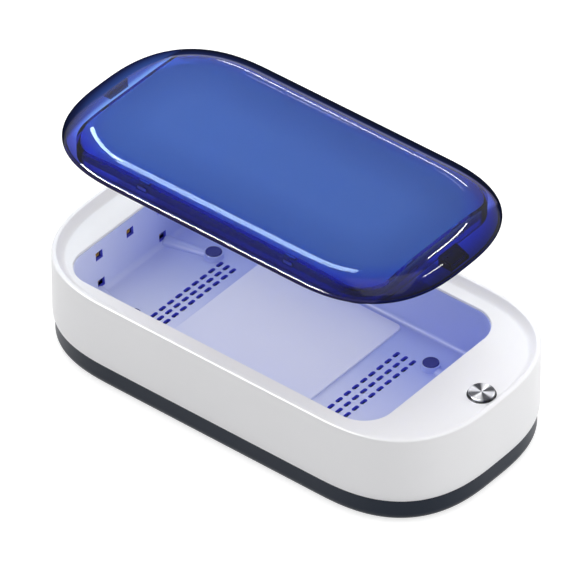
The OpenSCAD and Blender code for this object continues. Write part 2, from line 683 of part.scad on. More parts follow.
module button_board() color("seagreen") translate([button_x, button_y, button_board_z]) difference() {
    translate([-button_board_l / 2 - button_board_back, -button_board_w / 2, 0])
        cube([button_board_l, button_board_w, board_t]);
    for (y = [-1, 1]) translate([0, y * button_post_dy / 2, -cut])
        cylinder(r = small_screw_r + fit, h = board_t + 2 * cut);
}

module button_board_screws() color("silver") for (y = [-1, 1])
    translate([button_x, button_y + y * button_post_dy / 2, button_board_z])
        screw(small_head_r, small_head_h, small_screw_r, board_t + small_bite);

// Magnetic sensor that tells the board when the lid is off
module lid_sensor() color("black")
    translate([button_x - button_board_l / 2 - 1.5, button_y - sensor.y / 2, button_board_z + board_t])
        cube(sensor);

// ---- Main board and charging inlet ----

module main_board() color("seagreen") translate([main_x, main_y, 0]) difference() {
    slab(main_l, main_w, 1.5, main_z, main_z + main_t);
    at_four(main_screw_dx, main_screw_dy) translate([0, 0, main_z - cut])
        cylinder(r = small_screw_r + fit, h = main_t + 2 * cut);
}

module main_board_screws() color("silver") translate([main_x, main_y, main_z + main_t])
    at_four(main_screw_dx, main_screw_dy) mirror([0, 0, 1])
        screw(small_head_r, small_head_h, small_screw_r, main_t + main_lift);

module charging_inlet() color("silver") translate([main_x, inlet_y, inlet_z]) {
    difference() {
        stadium(inlet_w, inlet_h, inlet_l);
        translate([0, cut, 0]) stadium(inlet_w - 0.6, inlet_h - 0.6, inlet_l - 1.4 + cut);
    }
    translate([-3.3, -inlet_l + 0.6, -0.35]) cube([6.6, inlet_l - 1.6, 0.7]);
}

module power_inductor() color("dimgray") translate([main_x - 8, main_y - 8, main_z + main_t])
    slab(inductor_side, inductor_side, inductor_side / 9, 0, inductor_h);

module control_chips() color("black") for (c = chips) translate([main_x + c.x, main_y + c.y, main_z + main_t])
    cube([c[2], c[3], chip_h]);

// Plugs: three on the main board, one on each lamp board and one under the button board
module ribbon_plugs() color("ivory") {
    translate([main_x - main_l / 2 + plug_inset, left_ribbon_y - plug_block.y / 2, main_z + main_t])
        cube(plug_block);
    for (y = [right_ribbon_y, button_ribbon_y])
        translate([main_x + main_l / 2 - plug_inset - plug_block.x, y - plug_block.y / 2, main_z + main_t])
            cube(plug_block);
    for (e = [[-1, left_ribbon_y], [1, right_ribbon_y]])
        translate([cavity_x + e[0] * (lamp_back + plug_block.z / 2), e[1], lamp_plug_z + plug_block.x / 2])
            cube([plug_block.z, plug_block.y, plug_block.x], center = true);
    translate([button_plug_x, button_ribbon_y, button_board_z - plug_block.z / 2])
        cube(plug_block, center = true);
}

// Ribbon from a plug on the main board, along the tray floor and up to the plug at its other end
function ribbon_path(x0, x1, z1) =
    let (s = sign(x1 - x0))
    [[x0, ribbon_high_z], [x0 + s * ribbon_lead, ribbon_high_z], [x0 + s * (ribbon_lead + 2), ribbon_low_z],
     [x1 - s * ribbon_bend, ribbon_low_z], [x1, ribbon_low_z + ribbon_bend], [x1, z1]];
module ribbon_left()
    ribbon(ribbon_path(main_x - main_l / 2 + plug_inset, cavity_x - lamp_back - plug_block.z / 2,
                       lamp_plug_z), left_ribbon_y);
module ribbon_right()
    ribbon(ribbon_path(main_x + main_l / 2 - plug_inset, cavity_x + lamp_back + plug_block.z / 2,
                       lamp_plug_z), right_ribbon_y);
module ribbon_button()
    ribbon(ribbon_path(main_x + main_l / 2 - plug_inset, button_plug_x, button_board_z - plug_block.z),
           button_ribbon_y);

// ---- Lid ----

// Shoulder curve from the rim to the flat top, as [inset, z], moved inwards by d
shoulder = [[0, 0], [0.2, shoulder_h * 0.37], [shoulder_w / 2, shoulder_h], [shoulder_w, shoulder_h]];
function bend(t) = pow(1 - t, 3) * shoulder[0] + 3 * t * pow(1 - t, 2) * shoulder[1]
                   + 3 * t * t * (1 - t) * shoulder[2] + pow(t, 3) * shoulder[3];
function bend_way(t) = unit(bend(min(t + 0.01, 1)) - bend(max(t - 0.01, 0)));
function shoulder_at(t, d) = let (p = bend(t), w = bend_way(t)) [p[0] + d * w[1], p[1] - d * w[0]];

// The dome's solid, with its whole skin moved inwards by d and its foot at z0
module dome(d, z0) {
    foot = d > 0 ? [[shoulder_at(0, d)[0], z0]]
                 : [for (a = [90:-30:30]) [rim_r * (1 - cos(a)), -rim_r * sin(a)]];
    loft(lid_l, lid_w, lid_r, lid_p, concat(foot, [for (i = [0:7]) shoulder_at(i / 7, d)],
         [[2 * shoulder_w, shoulder_h + crown_h * 0.8 - d], [2.6 * shoulder_w, shoulder_h + crown_h - d]]));
}

// Upright wall of the skirt, or the space within it
module skirt_prism(inset, z0, z1) translate([cavity_x - lid_x, 0, 0])
    prism(skirt_l - 2 * inset, skirt_w - 2 * inset, skirt_r - inset, 2, z0, z1);

// Places of the snap tabs: two along each side and two at each end, turned to face outwards
module at_tabs() translate([cavity_x - lid_x, 0, 0]) {
    for (x = [-1, 1], y = [-1, 1]) translate([x * tab_dx / 2, y * (skirt_w / 2 - skirt_t), 0])
        rotate(y * 90) children();
    for (s = [0, 180], y = [-1, 1]) rotate(s) translate([skirt_l / 2 - skirt_t, y * tab_dy / 2, 0])
        children();
}

module lid_shell() color("royalblue", 0.6) translate([lid_x, 0, lid_z]) difference() {
    union() {
        difference() {
            dome(0, 0);
            dome(lid_t, -rim_r - cut);
        }
        intersection() {
            difference() {
                skirt_prism(0, skirt_z, shoulder_h);
                skirt_prism(skirt_t, skirt_z - cut, shoulder_h + cut);
            }
            dome(lid_t / 2, skirt_z - cut);
        }
        intersection() {
            for (x = [magnet_left_x, magnet_right_x]) translate([x - lid_x, 0, lid_magnet_z + shoulder_h / 2])
                cube([magnet_w + 2 * pocket_wall, magnet_l + 2 * pocket_wall, shoulder_h], center = true);
            dome(lid_t / 2, -rim_r);
        }
    }
    for (x = [magnet_left_x, magnet_right_x])
        translate([x - lid_x - (magnet_w + fit) / 2, -(magnet_l + fit) / 2, lid_magnet_z - rim_r])
            cube([magnet_w + fit, magnet_l + fit, magnet_t + rim_r]);
    at_tabs() translate([-cut, -tab_w / 2 - fit, tab_z - fit])
        cube([skirt_t + 2 * cut, tab_w + 2 * fit, tab_h + 2 * fit]);
}

// Opaque plate that follows the inside of the dome, with a rim whose tabs snap into the skirt
module lid_lining() color("slateblue") translate([lid_x, 0, lid_z]) {
    difference() {
        intersection() {
            skirt_prism(skirt_t + fit, lining_z, shoulder_h);
            dome(lid_t + lining_gap, lining_z - cut);
        }
        intersection() {
            skirt_prism(skirt_t + fit + lining_t, lining_z - cut, shoulder_h);
            dome(lid_t + lining_gap + lining_t, lining_z - 2 * cut);
        }
    }
    at_tabs() translate([-fit - lining_t / 2, -tab_w / 2, tab_z])
        cube([fit + lining_t / 2 + skirt_t - 0.3, tab_w, tab_h]);
}

module lid_magnet_left() translate([0, 0, lid_z]) magnet(magnet_left_x, lid_magnet_z);
module lid_magnet_right() translate([0, 0, lid_z]) magnet(magnet_right_x, lid_magnet_z);

housing();
tray();
rubber_feet();
case_screws();
chamber_tub();
tub_screws();
post_pads();
charging_plate();
charging_coil();
ferrite_sheet();
lamp_board_left();
lamp_board_right();
lamps_left();
lamps_right();
lamp_board_screws();
button_ring();
button_cap();
button_carrier();
switch_stem();
push_switch();
button_board();
button_board_screws();
lid_sensor();
main_board();
main_board_screws();
charging_inlet();
power_inductor();
control_chips();
ribbon_plugs();
ribbon_left();
ribbon_right();
ribbon_button();
housing_magnet_left();
housing_magnet_right();
lid_shell();
lid_lining();
lid_magnet_left();
lid_magnet_right();
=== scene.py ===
"""Looks of a UV sanitizer box for phones: fine shells, clear lid, lit chamber, spun button, soft light."""
import math

import bmesh
import bpy
from mathutils import Matrix, Vector


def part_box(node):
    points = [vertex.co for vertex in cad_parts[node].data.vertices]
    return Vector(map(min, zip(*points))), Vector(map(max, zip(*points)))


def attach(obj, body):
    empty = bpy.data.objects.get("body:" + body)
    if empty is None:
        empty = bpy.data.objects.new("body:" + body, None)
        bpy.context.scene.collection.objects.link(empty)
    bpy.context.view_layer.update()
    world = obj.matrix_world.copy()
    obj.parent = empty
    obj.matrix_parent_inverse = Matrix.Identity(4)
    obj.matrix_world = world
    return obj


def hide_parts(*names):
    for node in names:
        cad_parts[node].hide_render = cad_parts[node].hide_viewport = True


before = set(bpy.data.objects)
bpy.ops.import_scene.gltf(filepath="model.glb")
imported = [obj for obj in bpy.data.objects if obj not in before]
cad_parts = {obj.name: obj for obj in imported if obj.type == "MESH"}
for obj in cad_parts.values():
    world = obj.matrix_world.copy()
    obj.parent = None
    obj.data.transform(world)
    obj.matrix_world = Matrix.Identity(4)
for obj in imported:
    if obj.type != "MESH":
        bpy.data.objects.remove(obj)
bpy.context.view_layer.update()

MM = 0.001
STEPS = 40          # points in each rounded corner of an outline
ROUND = 6           # points in each small rounded edge
AROUND = 96         # points round a turned piece


# ---- Sizes, in millimetres, as in the solids ----
# L, W and H are a length, width and height, R is a radius, T a thickness and P how square a corner is.

def millimetres(node):
    """Lowest and highest corner of a node of the frame."""
    lo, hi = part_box(node)
    return Vector(lo) / MM, Vector(hi) / MM


HOUSING_LO, HOUSING_HI = millimetres("housing")
TRAY_LO, TRAY_HI = millimetres("tray")
LID_LO, LID_HI = millimetres("lid_shell")
CAP_LO, CAP_HI = millimetres("button_cap")
RING_LO, RING_HI = millimetres("button_ring")
PLATE_LO, PLATE_HI = millimetres("charging_plate")
BUTTON_X = (CAP_LO.x + CAP_HI.x) / 2
BUTTON_Y = (CAP_LO.y + CAP_HI.y) / 2

BODY_L = HOUSING_HI.x - HOUSING_LO.x
BODY_W = HOUSING_HI.y - HOUSING_LO.y
BODY_H = HOUSING_HI.z
BODY_R = 55.4
BODY_P = 2.6
BODY_WALL = 2.4
LEDGE_T = 2.4
LEDGE_DROP = 3.6
LEDGE_Z = BODY_H - LEDGE_DROP
LIP_W = 5.7
LIP_TOP = 2.3
LIP_ROUND = 1.0
LIP_CREST_H = 0.25
LIP_SLOPE = 1.8         # power of the hollow slope from the ledge up to the crest
SEAM_Z = 12.0
SEAM_INSET = 1.1
SEAM_ROUND = 5.0
FIT = 0.2
CUT = 0.5               # how far a cutting shape runs past what it cuts

# Crest of the lip, as the distance inwards from LIP_TOP and the drop from the top
LIP_CREST = ((0.02, 0.3), (-0.14, 0.13), (-0.3, 0.04), (-0.5, 0.0), (-0.5, -CUT))

TRAY_Z = TRAY_LO.z
TRAY_FLOOR = 2.4
TRAY_ROUND_W = 3.0
TRAY_ROUND_H = 4.0
TRAY_EDGE = 0.25
TRAY_SKIN = 0.01        # what the screw recesses leave of the floor
TONGUE_T = 1.2
TONGUE_INSET = BODY_WALL + FIT
FOOT_R = 6.0
SCREW_HEAD_R = 2.8
SCREW_BORE_R = 1.6
SCREWS_LEFT_Y = 20.0
SCREWS_RIGHT_Y = 36.0
INLET_L = 9.5
INLET_H = 3.8
INLET_DISH_L = 11.6
INLET_DISH_H = 5.6
INLET_DISH_T = 0.6

LEDGE_LEFT = 13.3
LEDGE_RIGHT = 28.3
LEDGE_SIDE = 5.5
CAVITY_L = BODY_L - 2 * LIP_W - LEDGE_LEFT - LEDGE_RIGHT
CAVITY_W = BODY_W - 2 * LIP_W - 2 * LEDGE_SIDE
CAVITY_X = (LEDGE_LEFT - LEDGE_RIGHT) / 2
CAVITY_R = 14.7
CAVITY_EDGE = 0.35
FLOOR_Z = 16.0
TUB_WALL = 1.4
TUB_FLOOR = 1.8
TUB_DRAFT = 1.6
TUB_FILLET = 2.5
TUB_FILLET_MORE = 0.5   # how much wider the fillet is on the outside
TUB_STEP = 0.4
TUB_OUT = TUB_WALL - TUB_STEP
COLLAR_Z = LEDGE_Z - LEDGE_T / 2
FLANGE_W = 1.5
FLANGE_T = 1.6
LEDGE_UNDER_Z = LEDGE_Z - LEDGE_T

POST_DX = 122.0
POST_DY = 55.6
POST_H = 3.0
POST_R = 4.2
POST_FOOT_R = POST_R + 0.3
POST_FOOT_H = 1.5
POST_ROUND = 0.2
PAD_R = 3.7
PAD_SINK = 0.8
RIDGE_WALL_R = 3.4
RIDGE_POST_R = 2.2
RIDGE_TURN = 13.0       # degrees, towards the middle of the end wall
RIDGE_SINK = 0.4
RIDGE_INTO_WALL = 0.6

SLOT_L = 4.2
SLOT_W = 2.0
SLOT_PITCH_Y = 5.65
SLOTS = 10
SLOT_BANDS = ((-52.0, 3.6), (48.2, 4.5))        # middle of each band, and how far apart its rows are

WINDOW_W = 4.6
WINDOW_H = 4.2
WINDOW_CUT = 8.0
WINDOWS = ((-21.0, 4.1), (21.0, 4.1), (-21.0, 19.0), (0.0, 19.0), (21.0, 19.0))     # y, and z over the floor

PLATE_R = 3.0
PLATE_EDGE = 0.4
CAP_BEVEL_W = 0.35
CAP_BEVEL_H = 0.5
CAP_DISH = 0.1
RING_FOOT = 1.0
RING_GAP = 0.15
RING_ROUND = 0.3
RING_CHAMFER = 0.1

LID_L = LID_HI.x - LID_LO.x
LID_W = LID_HI.y - LID_LO.y
LID_X = (LID_HI.x + LID_LO.x) / 2
LID_R = 52.1
LID_P = 2.55
LID_T = 2.2
SHOULDER_W = 17.0
SHOULDER_H = 6.5
CROWN_H = 0.4
CROWN_FLAT = 4.0        # half the width of the crown's flat middle
RIM_R = 1.2
LID_Z = LID_HI.z - SHOULDER_H - CROWN_H
SKIRT_GAP = 1.6
SKIRT_L = CAVITY_L - 2 * SKIRT_GAP
SKIRT_W = CAVITY_W - 2 * SKIRT_GAP
SKIRT_T = 1.5
SKIRT_R = 16.0
SKIRT_Z = LID_LO.z - LID_Z
LINING_T = 1.2
LINING_GAP = 0.3
TAB_DX = 80.5
TAB_DY = 31.6
TAB_W = 5.0
TAB_H = 1.8
TAB_Z = -1.6
TAB_SHORT = 0.3
LINING_Z = TAB_Z - 0.6
MAGNET_L = 10.0
MAGNET_W = 5.0
MAGNET_T = 2.5
MAGNET_WALL = 1.0
LID_MAGNET_Z = -RIM_R + 0.3


# ---- Mesh helpers ----

WELD = 0.004            # points closer than this are one


def new_object(name, mesh):
    thing = bpy.data.objects.new(name, mesh)
    bpy.context.scene.collection.objects.link(thing)
    return thing


def mesh_of(name, points, faces):
    """A mesh from points in millimetres."""
    mesh = bpy.data.meshes.new(name)
    mesh.from_pydata([(x * MM, y * MM, z * MM) for x, y, z in points], [], faces)
    mesh.validate()
    mesh.update()
    return mesh


def skinned(name, rings):
    """A closed mesh through rings of equally many points, from the first ring to the last."""
    n = len(rings[0])
    points = [point for ring in rings for point in ring]
    faces = [tuple(range(n))[::-1]]
    for k in range(0, len(points) - n, n):
        faces += [(k + i, k + (i + 1) % n, k + n + (i + 1) % n, k + n + i) for i in range(n)]
    faces.append(tuple(range(len(points) - n, len(points))))
    return mesh_of(name, points, faces)


def arc(count=ROUND, start=0.0, end=90.0):
    """Angles from start to end, which are in degrees, in equal steps."""
    return [math.radians(start + (end - start) * i / count) for i in range(count + 1)]


def oblong(length, width, r, p):
    """Outline with rounded corners, where p = 2 is round and more is squarer."""
    r = max(r, 1.0)
    turn = [math.pi / 2 * i / STEPS for i in range(STEPS)]
    corner = [(r * math.cos(a) ** (2 / p), r * math.sin(a) ** (2 / p)) for a in turn] + [(0.0, r)]
    x, y = length / 2 - r, width / 2 - r
    return ([(x + u, y + v) for u, v in corner] + [(-x - u, y + v) for u, v in corner[::-1]]
            + [(-x - u, -y - v) for u, v in corner] + [(x + u, -y - v) for u, v in corner[::-1]])


def loft(length, width, r, p, rings, at=(0, 0, 0)):
    """A mesh skinned through level rings, each given as (inset, z), from the bottom up."""
    levels = []
    for inset, z in rings:
        outline = oblong(length - 2 * inset, width - 2 * inset, r - inset, p)
        levels.append([(x + at[0], y + at[1], z + at[2]) for x, y in outline])
    return skinned("loft", levels)


def prism(length, width, r, p, z0, z1, at=(0, 0, 0)):
    """An upright block with rounded corners, from z0 up to z1."""
    return loft(length, width, r, p, [(0, z0), (0, z1)], at)


def box_mesh(size, at):
    """A plain block, used only to cut or to build up another piece."""
    x, y, z = (s / 2 for s in size)
    corners = [(at[0] + i * x, at[1] + j * y, at[2] + k * z)
               for k in (-1, 1) for j in (-1, 1) for i in (-1, 1)]
    faces = [(0, 2, 3, 1), (4, 5, 7, 6), (0, 1, 5, 4), (2, 6, 7, 3), (0, 4, 6, 2), (1, 3, 7, 5)]
    return mesh_of("block", corners, faces)


def turned(profile, at=(0, 0, 0), count=AROUND):
    """A mesh turned about +Z from (radius, z) points, which end on the axis or close into a ring."""
    ring_like = profile[0][0] > 0
    points, rows = [], []
    for r, z in profile:
        if r == 0:
            rows.append([len(points)] * count)
            points.append((at[0], at[1], z + at[2]))
            continue
        rows.append(list(range(len(points), len(points) + count)))
        for i in range(count):
            a = 2 * math.pi * i / count
            points.append((at[0] + r * math.cos(a), at[1] + r * math.sin(a), z + at[2]))
    pairs = list(zip(rows, rows[1:])) + ([(rows[-1], rows[0])] if ring_like else [])
    faces = []
    for low, high in pairs:
        for i in range(count):
            j = (i + 1) % count
            corners = [low[i], low[j], high[j], high[i]]
            faces.append(tuple(dict.fromkeys(corners)))
    return mesh_of("turned", points, faces)


def cylinder(r, z0, z1, at=(0, 0, 0)):
    return turned([(0, z0), (r, z0), (r, z1), (0, z1)], at, 64)


def joined(meshes):
    """One mesh of several."""
    work = bmesh.new()
    for mesh in meshes:
        work.from_mesh(mesh)
    out = bpy.data.meshes.new("joined")
    work.to_mesh(out)
    work.free()
    return out


def combine(base, *steps):
    """The base mesh after boolean steps, each an operation's name and a mesh."""
    thing = new_object("working", base)
    helpers = []
    for operation, mesh in steps:
        helper = new_object("helper", mesh)
        helpers.append(helper)
        modifier = thing.modifiers.new("step", "BOOLEAN")
        modifier.operation = operation
        modifier.solver = "MANIFOLD"
        modifier.object = helper
    done = bpy.data.meshes.new_from_object(thing.evaluated_get(bpy.context.evaluated_depsgraph_get()))
    for extra in [thing] + helpers:
        bpy.data.objects.remove(extra)
    return done


def cleaned(mesh):
    """Merges points that a boolean left together, and turns the faces outwards."""
    work = bmesh.new()
    work.from_mesh(mesh)
    bmesh.ops.remove_doubles(work, verts=work.verts, dist=WELD * MM)
    bmesh.ops.dissolve_degenerate(work, edges=work.edges, dist=WELD * MM)
    bmesh.ops.recalc_face_normals(work, faces=work.faces)
    work.to_mesh(mesh)
    work.free()
    return mesh


def piece(name, mesh, body, material, nodes, sharp=28):
    """A finished piece: smooth with crisp edges, a body to ride on and the nodes that it stands for."""
    mesh.materials.clear()
    mesh.materials.append(material)
    for face in mesh.polygons:
        face.use_smooth = True
        face.material_index = 0
    mesh.set_sharp_from_angle(angle=math.radians(sharp))
    thing = new_object(name, mesh)
    flat = thing.modifiers.new("flat faces stay flat", "WEIGHTED_NORMAL")
    flat.keep_sharp = True
    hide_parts(*nodes)
    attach(thing, body)
    return thing


# ---- Materials ----

class Nodes:
    """A material's node tree with short calls."""

    def __init__(self, name):
        self.material = bpy.data.materials.new(name)
        self.material.use_nodes = True
        self.tree = self.material.node_tree
        self.shader = self.tree.nodes["Principled BSDF"]
        self.output = self.tree.nodes["Material Output"]

    def add(self, kind, **values):
        node = self.tree.nodes.new(kind)
        for key, value in values.items():
            if key in node.inputs:
                node.inputs[key].default_value = value
            else:
                setattr(node, key, value)
        return node

    def link(self, a, b):
        self.tree.links.new(a, b)

    def place(self):
        return self.add("ShaderNodeTexCoord").outputs["Object"]

    def split(self, vector):
        """The sockets "X", "Y" and "Z" of a vector."""
        node = self.add("ShaderNodeSeparateXYZ")
        self.link(vector, node.inputs[0])
        return node.outputs

    def noise(self, scale, detail=2.0, rough=0.5, vector=None):
        """Noise, with its scale given in waves per metre."""
        node = self.add("ShaderNodeTexNoise", Scale=scale, Detail=detail, Roughness=rough)
        self.link(vector or self.place(), node.inputs["Vector"])
        return node.outputs["Fac"]

    def ramp(self, value, low, high, at=(0.3, 0.7)):
        """Colours or numbers between low and high."""
        node = self.add("ShaderNodeMapRange")
        node.inputs["From Min"].default_value = at[0]
        node.inputs["From Max"].default_value = at[1]
        node.inputs["To Min"].default_value = low
        node.inputs["To Max"].default_value = high
        self.link(value, node.inputs["Value"])
        return node.outputs["Result"]

    def fade(self, value, low, high, span):
        """Numbers between low and high, as a length passes over a span in millimetres."""
        return self.ramp(value, low, high, (span[0] * MM, span[1] * MM))

    def mix(self, factor, a, b):
        """A colour between a and b, each a colour or a socket."""
        node = self.add("ShaderNodeMix", data_type="RGBA")
        for key, value in (("A", a), ("B", b)):
            socket = next(s for s in node.inputs if s.name == key and s.type == "RGBA")
            if isinstance(value, tuple):
                socket.default_value = value + (1,)
            else:
                self.link(value, socket)
        self.link(factor, next(s for s in node.inputs if s.name == "Factor" and s.type == "VALUE"))
        return next(s for s in node.outputs if s.type == "RGBA")

    def math(self, operation, a, b=None):
        """A number worked out from one or two others, each a constant or a socket."""
        node = self.add("ShaderNodeMath", operation=operation)
        for socket, value in zip(node.inputs, (a, b)):
            if isinstance(value, (int, float)):
                socket.default_value = value
            elif value is not None:
                self.link(value, socket)
        return node.outputs[0]

    def vector(self, operation, a, b):
        """A vector worked out from a socket and a fixed vector."""
        node = self.add("ShaderNodeVectorMath", operation=operation)
        self.link(a, node.inputs[0])
        node.inputs[1].default_value = b
        return node.outputs["Vector"]

    def stops(self, value, colours):
        """A colour ramp over a length, given as the millimetres and colour of each stop."""
        first, last = colours[0][0], colours[-1][0]
        node = self.add("ShaderNodeValToRGB")
        ramp = node.color_ramp
        for place, colour in colours[1:-1]:
            ramp.elements.new((place - first) / (last - first))
        for element, (place, colour) in zip(ramp.elements, colours):
            element.position = (place - first) / (last - first)
            element.color = colour + (1,)
        self.link(self.fade(value, 0.0, 1.0, (first, last)), node.inputs["Fac"])
        return node.outputs["Color"]

    def bump(self, height, strength, distance):
        """Bumps as high as a distance in millimetres."""
        node = self.add("ShaderNodeBump", Strength=strength, Distance=distance * MM)
        self.link(height, node.inputs["Height"])
        self.link(node.outputs["Normal"], self.shader.inputs["Normal"])


def srgb(code):
    """A linear colour from a hexadecimal one."""
    values = [int(code[i:i + 2], 16) / 255 for i in (0, 2, 4)]
    return tuple(v / 12.92 if v <= 0.04045 else ((v + 0.055) / 1.055) ** 2.4 for v in values)


def shaded(colour, factor):
    return tuple(c * factor for c in colour)


GRAIN_MM = 0.35         # size of the grain that spark erosion leaves
GRAIN_H = 0.02
SCRATCH = 0.1


def moulded(name, code, rough, vary, grain=0.12, specular=0.5, handled=0.15):
    """Moulded plastic: spark-eroded grain, faint flow marks and uneven gloss from handling."""
    n = Nodes(name)
    colour = srgb(code)
    flow = n.noise(18, 3, 0.6)
    n.link(n.mix(n.ramp(flow, 0.0, 1.0), shaded(colour, 1 - vary), colour), n.shader.inputs["Base Color"])
    n.link(n.ramp(n.noise(60, 2, 0.5), rough * (1 - handled), rough * (1 + handled), (0.1, 0.9)),
           n.shader.inputs["Roughness"])
    n.bump(n.noise(1000 / GRAIN_MM, 2, 0.6), grain, GRAIN_H)
    n.shader.inputs["Specular IOR Level"].default_value = specular
    return n.material


def lavender():
    """Chamber plastic with painted light: its colour is paler towards the front, where light reaches the
    floor.
    """
    n = Nodes("chamber_plastic")
    y = n.split(n.place())["Y"]
    # Painted light: the colour runs from a shaded blue at the back to near white at the front
    front = n.fade(y, 1.0, 0.0, (-CAVITY_W / 2, CAVITY_W / 4))
    painted_light_tone = n.mix(front, srgb("A6B3EE"), srgb("E9EDFF"))
    mottle = n.ramp(n.noise(25, 3, 0.6), 0.0, 0.12)
    n.link(n.mix(mottle, painted_light_tone, srgb("C3C9F0")), n.shader.inputs["Base Color"])
    n.link(n.ramp(n.noise(80, 2, 0.5), 0.42, 0.52, (0.1, 0.9)), n.shader.inputs["Roughness"])
    n.shader.inputs["Specular IOR Level"].default_value = 0.2
    n.bump(n.noise(2500, 2, 0.6), 0.08, GRAIN_H)
    return n.material


# Tints of the lid's clear plastic, by the distance in millimetres from its outline: along the sides, at the
# end without the button and at the button's end. They are partly the plastic's blue and partly painted shade:
# darker towards the outline and at the button's end
SIDE_TINT_AND_SHADE = ((0, (0.02, 0.02, 0.06)), (1, (0.1, 0.07, 0.3)), (4, (0.2, 0.15, 0.5)), (7.5, (0.34, 0.34, 0.8)),
             (11, (0.54, 0.58, 0.83)), (17, (0.72, 0.73, 0.79)), (26, (0.82, 0.79, 0.81)),
             (40, (0.98, 0.89, 0.87)))
PLAIN_END_TINT_AND_SHADE = ((0, (0.01, 0.01, 0.03)), (2, (0.03, 0.03, 0.08)), (6, (0.08, 0.07, 0.2)),
                  (10, (0.07, 0.09, 0.32)), (15, (0.17, 0.21, 0.46)))
BUTTON_END_TINT_AND_SHADE = ((0, (0.006, 0.008, 0.05)), (2, (0.01, 0.013, 0.12)), (6, (0.015, 0.022, 0.27)),
                   (10, (0.025, 0.04, 0.4)), (15, (0.08, 0.1, 0.62)))
# Painted shade: near-black colours of its edge where that is seen much aslant, where it also lets no light
# through
PAINTED_EDGE_SHADE = ((0, (0.004, 0.005, 0.014)), (5, (0.005, 0.007, 0.02)), (10, (0.01, 0.016, 0.07)),
             (14, (0.02, 0.04, 0.18)))
PAINTED_END_EDGE_SHADE = ((0, (0.004, 0.005, 0.014)), (4, (0.008, 0.012, 0.05)), (10, (0.024, 0.052, 0.21)),
                 (14, (0.04, 0.08, 0.3)))

END_MIX = (-50, 50)         # millimetres in x, from one end's tint to the other's
PAST_SKIRT = (0.3, 2.5)     # millimetres past the skirt's ends, from the sides' tint to the ends'
ASLANT = (0.5, 0.6)         # from clear to the painted dark edge, by Layer Weight's Facing
END_ASLANT = 0.07           # how much sooner the ends turn to the painted dark edge
PAINTED_EDGE_INSET = (10, 14)       # millimetres from the outline over which the painted dark edge ends
PAINTED_EDGE_CLEAR = (0.3, 1.0)     # how strong the painted dark edge is where it starts and stops losing its clearness
RIM_CLEAR = (0.1, 0.5)      # millimetres from the outline over which the rim turns clear
RIM_GLOSS = (0.2, 0.6)      # millimetres from the outline over which the rim turns glossy
LID_GLOSS = 0.08
PLAIN_GLOSS = 0.15          # gloss where an export drops the link that varies it
MIRROR_TINT = (0.35, 0.35, 0.35, 1)     # dims the white room in the lid, which would veil the blue
ACRYLIC_IOR = 1.49
LID_DEPTH_COLOUR = (0.1, 0.46, 0.85, 1)
LID_DEPTH_DENSITY = 700.0


def from_edge(n, x, y):
    """Distance from the lid's outline, level and inwards, from a place in metres."""
    across = n.math("SUBTRACT", n.math("ABSOLUTE", y), (LID_W / 2 - LID_R) * MM)
    from_middle = n.math("ABSOLUTE", n.math("SUBTRACT", x, LID_X * MM))
    along = n.math("SUBTRACT", from_middle, (LID_L / 2 - LID_R) * MM)
    parts = [n.math("POWER", n.math("MULTIPLY", n.math("MAXIMUM", part, 0.0), 1 / (LID_R * MM)), LID_P)
             for part in (across, along)]
    share = n.math("POWER", n.math("ADD", *parts), 1 / LID_P)
    return n.math("MULTIPLY", n.math("SUBTRACT", 1.0, share), LID_R * MM)


def clear_blue():
    """Clear blue plastic, darker the more of it the light crosses, with painted shade: darker towards its
    edge and at the button's end.
    """
    n = Nodes("clear_blue_plastic")
    axes = n.split(n.place())
    x, y = axes["X"], axes["Y"]
    inset = from_edge(n, x, y)
    sides = n.stops(inset, SIDE_TINT_AND_SHADE)
    to_button = n.fade(x, 0.0, 1.0, END_MIX)
    ends = n.mix(to_button, n.stops(inset, PLAIN_END_TINT_AND_SHADE), n.stops(inset, BUTTON_END_TINT_AND_SHADE))
    past_skirt = n.fade(n.math("ABSOLUTE", n.math("SUBTRACT", x, CAVITY_X * MM)), 0.0, 1.0,
                        [SKIRT_L / 2 + past for past in PAST_SKIRT])
    lid_tint_and_shade = n.mix(past_skirt, sides, ends)
    facing = n.add("ShaderNodeLayerWeight", Blend=0.5).outputs["Facing"]
    aslant = n.math("ADD", facing, n.math("MULTIPLY", past_skirt, END_ASLANT))
    painted_edge = n.math("MULTIPLY", n.ramp(aslant, 0.0, 1.0, ASLANT), n.fade(inset, 1.0, 0.0, PAINTED_EDGE_INSET))
    painted_edge_colour = n.mix(past_skirt, n.stops(inset, PAINTED_EDGE_SHADE), n.stops(inset, PAINTED_END_EDGE_SHADE))
    n.link(n.mix(painted_edge, lid_tint_and_shade, painted_edge_colour), n.shader.inputs["Base Color"])
    clear = n.math("MINIMUM", n.ramp(painted_edge, 1.0, 0.0, PAINTED_EDGE_CLEAR), n.fade(inset, 0.0, 1.0, RIM_CLEAR))
    n.link(clear, n.shader.inputs["Transmission Weight"])
    n.shader.inputs["Specular Tint"].default_value = MIRROR_TINT
    gloss = n.math("MINIMUM", n.ramp(painted_edge, LID_GLOSS, 0.0, (0.0, 1.0)),
                   n.fade(inset, 0.0, LID_GLOSS, RIM_GLOSS))
    n.shader.inputs["Specular IOR Level"].default_value = PLAIN_GLOSS
    n.link(gloss, n.shader.inputs["Specular IOR Level"])
    n.shader.inputs["IOR"].default_value = ACRYLIC_IOR
    n.link(n.ramp(n.noise(40, 2, 0.5), 0.03, 0.045), n.shader.inputs["Roughness"])
    n.bump(n.noise(14, 0, 0.4), 0.001, 0.2)
    depth = n.add("ShaderNodeVolumeAbsorption")
    depth.inputs["Color"].default_value = LID_DEPTH_COLOUR
    depth.inputs["Density"].default_value = LID_DEPTH_DENSITY
    n.link(depth.outputs["Volume"], n.output.inputs["Volume"])
    return n.material


PAINTED_GLINT_SECTORS = 4            # painted highlights: bright sectors round the button, between dark ones
PAINTED_GLINT_TURN = 0.4     # radians
LATHE_RINGS = 9000      # waves per metre, out from the middle


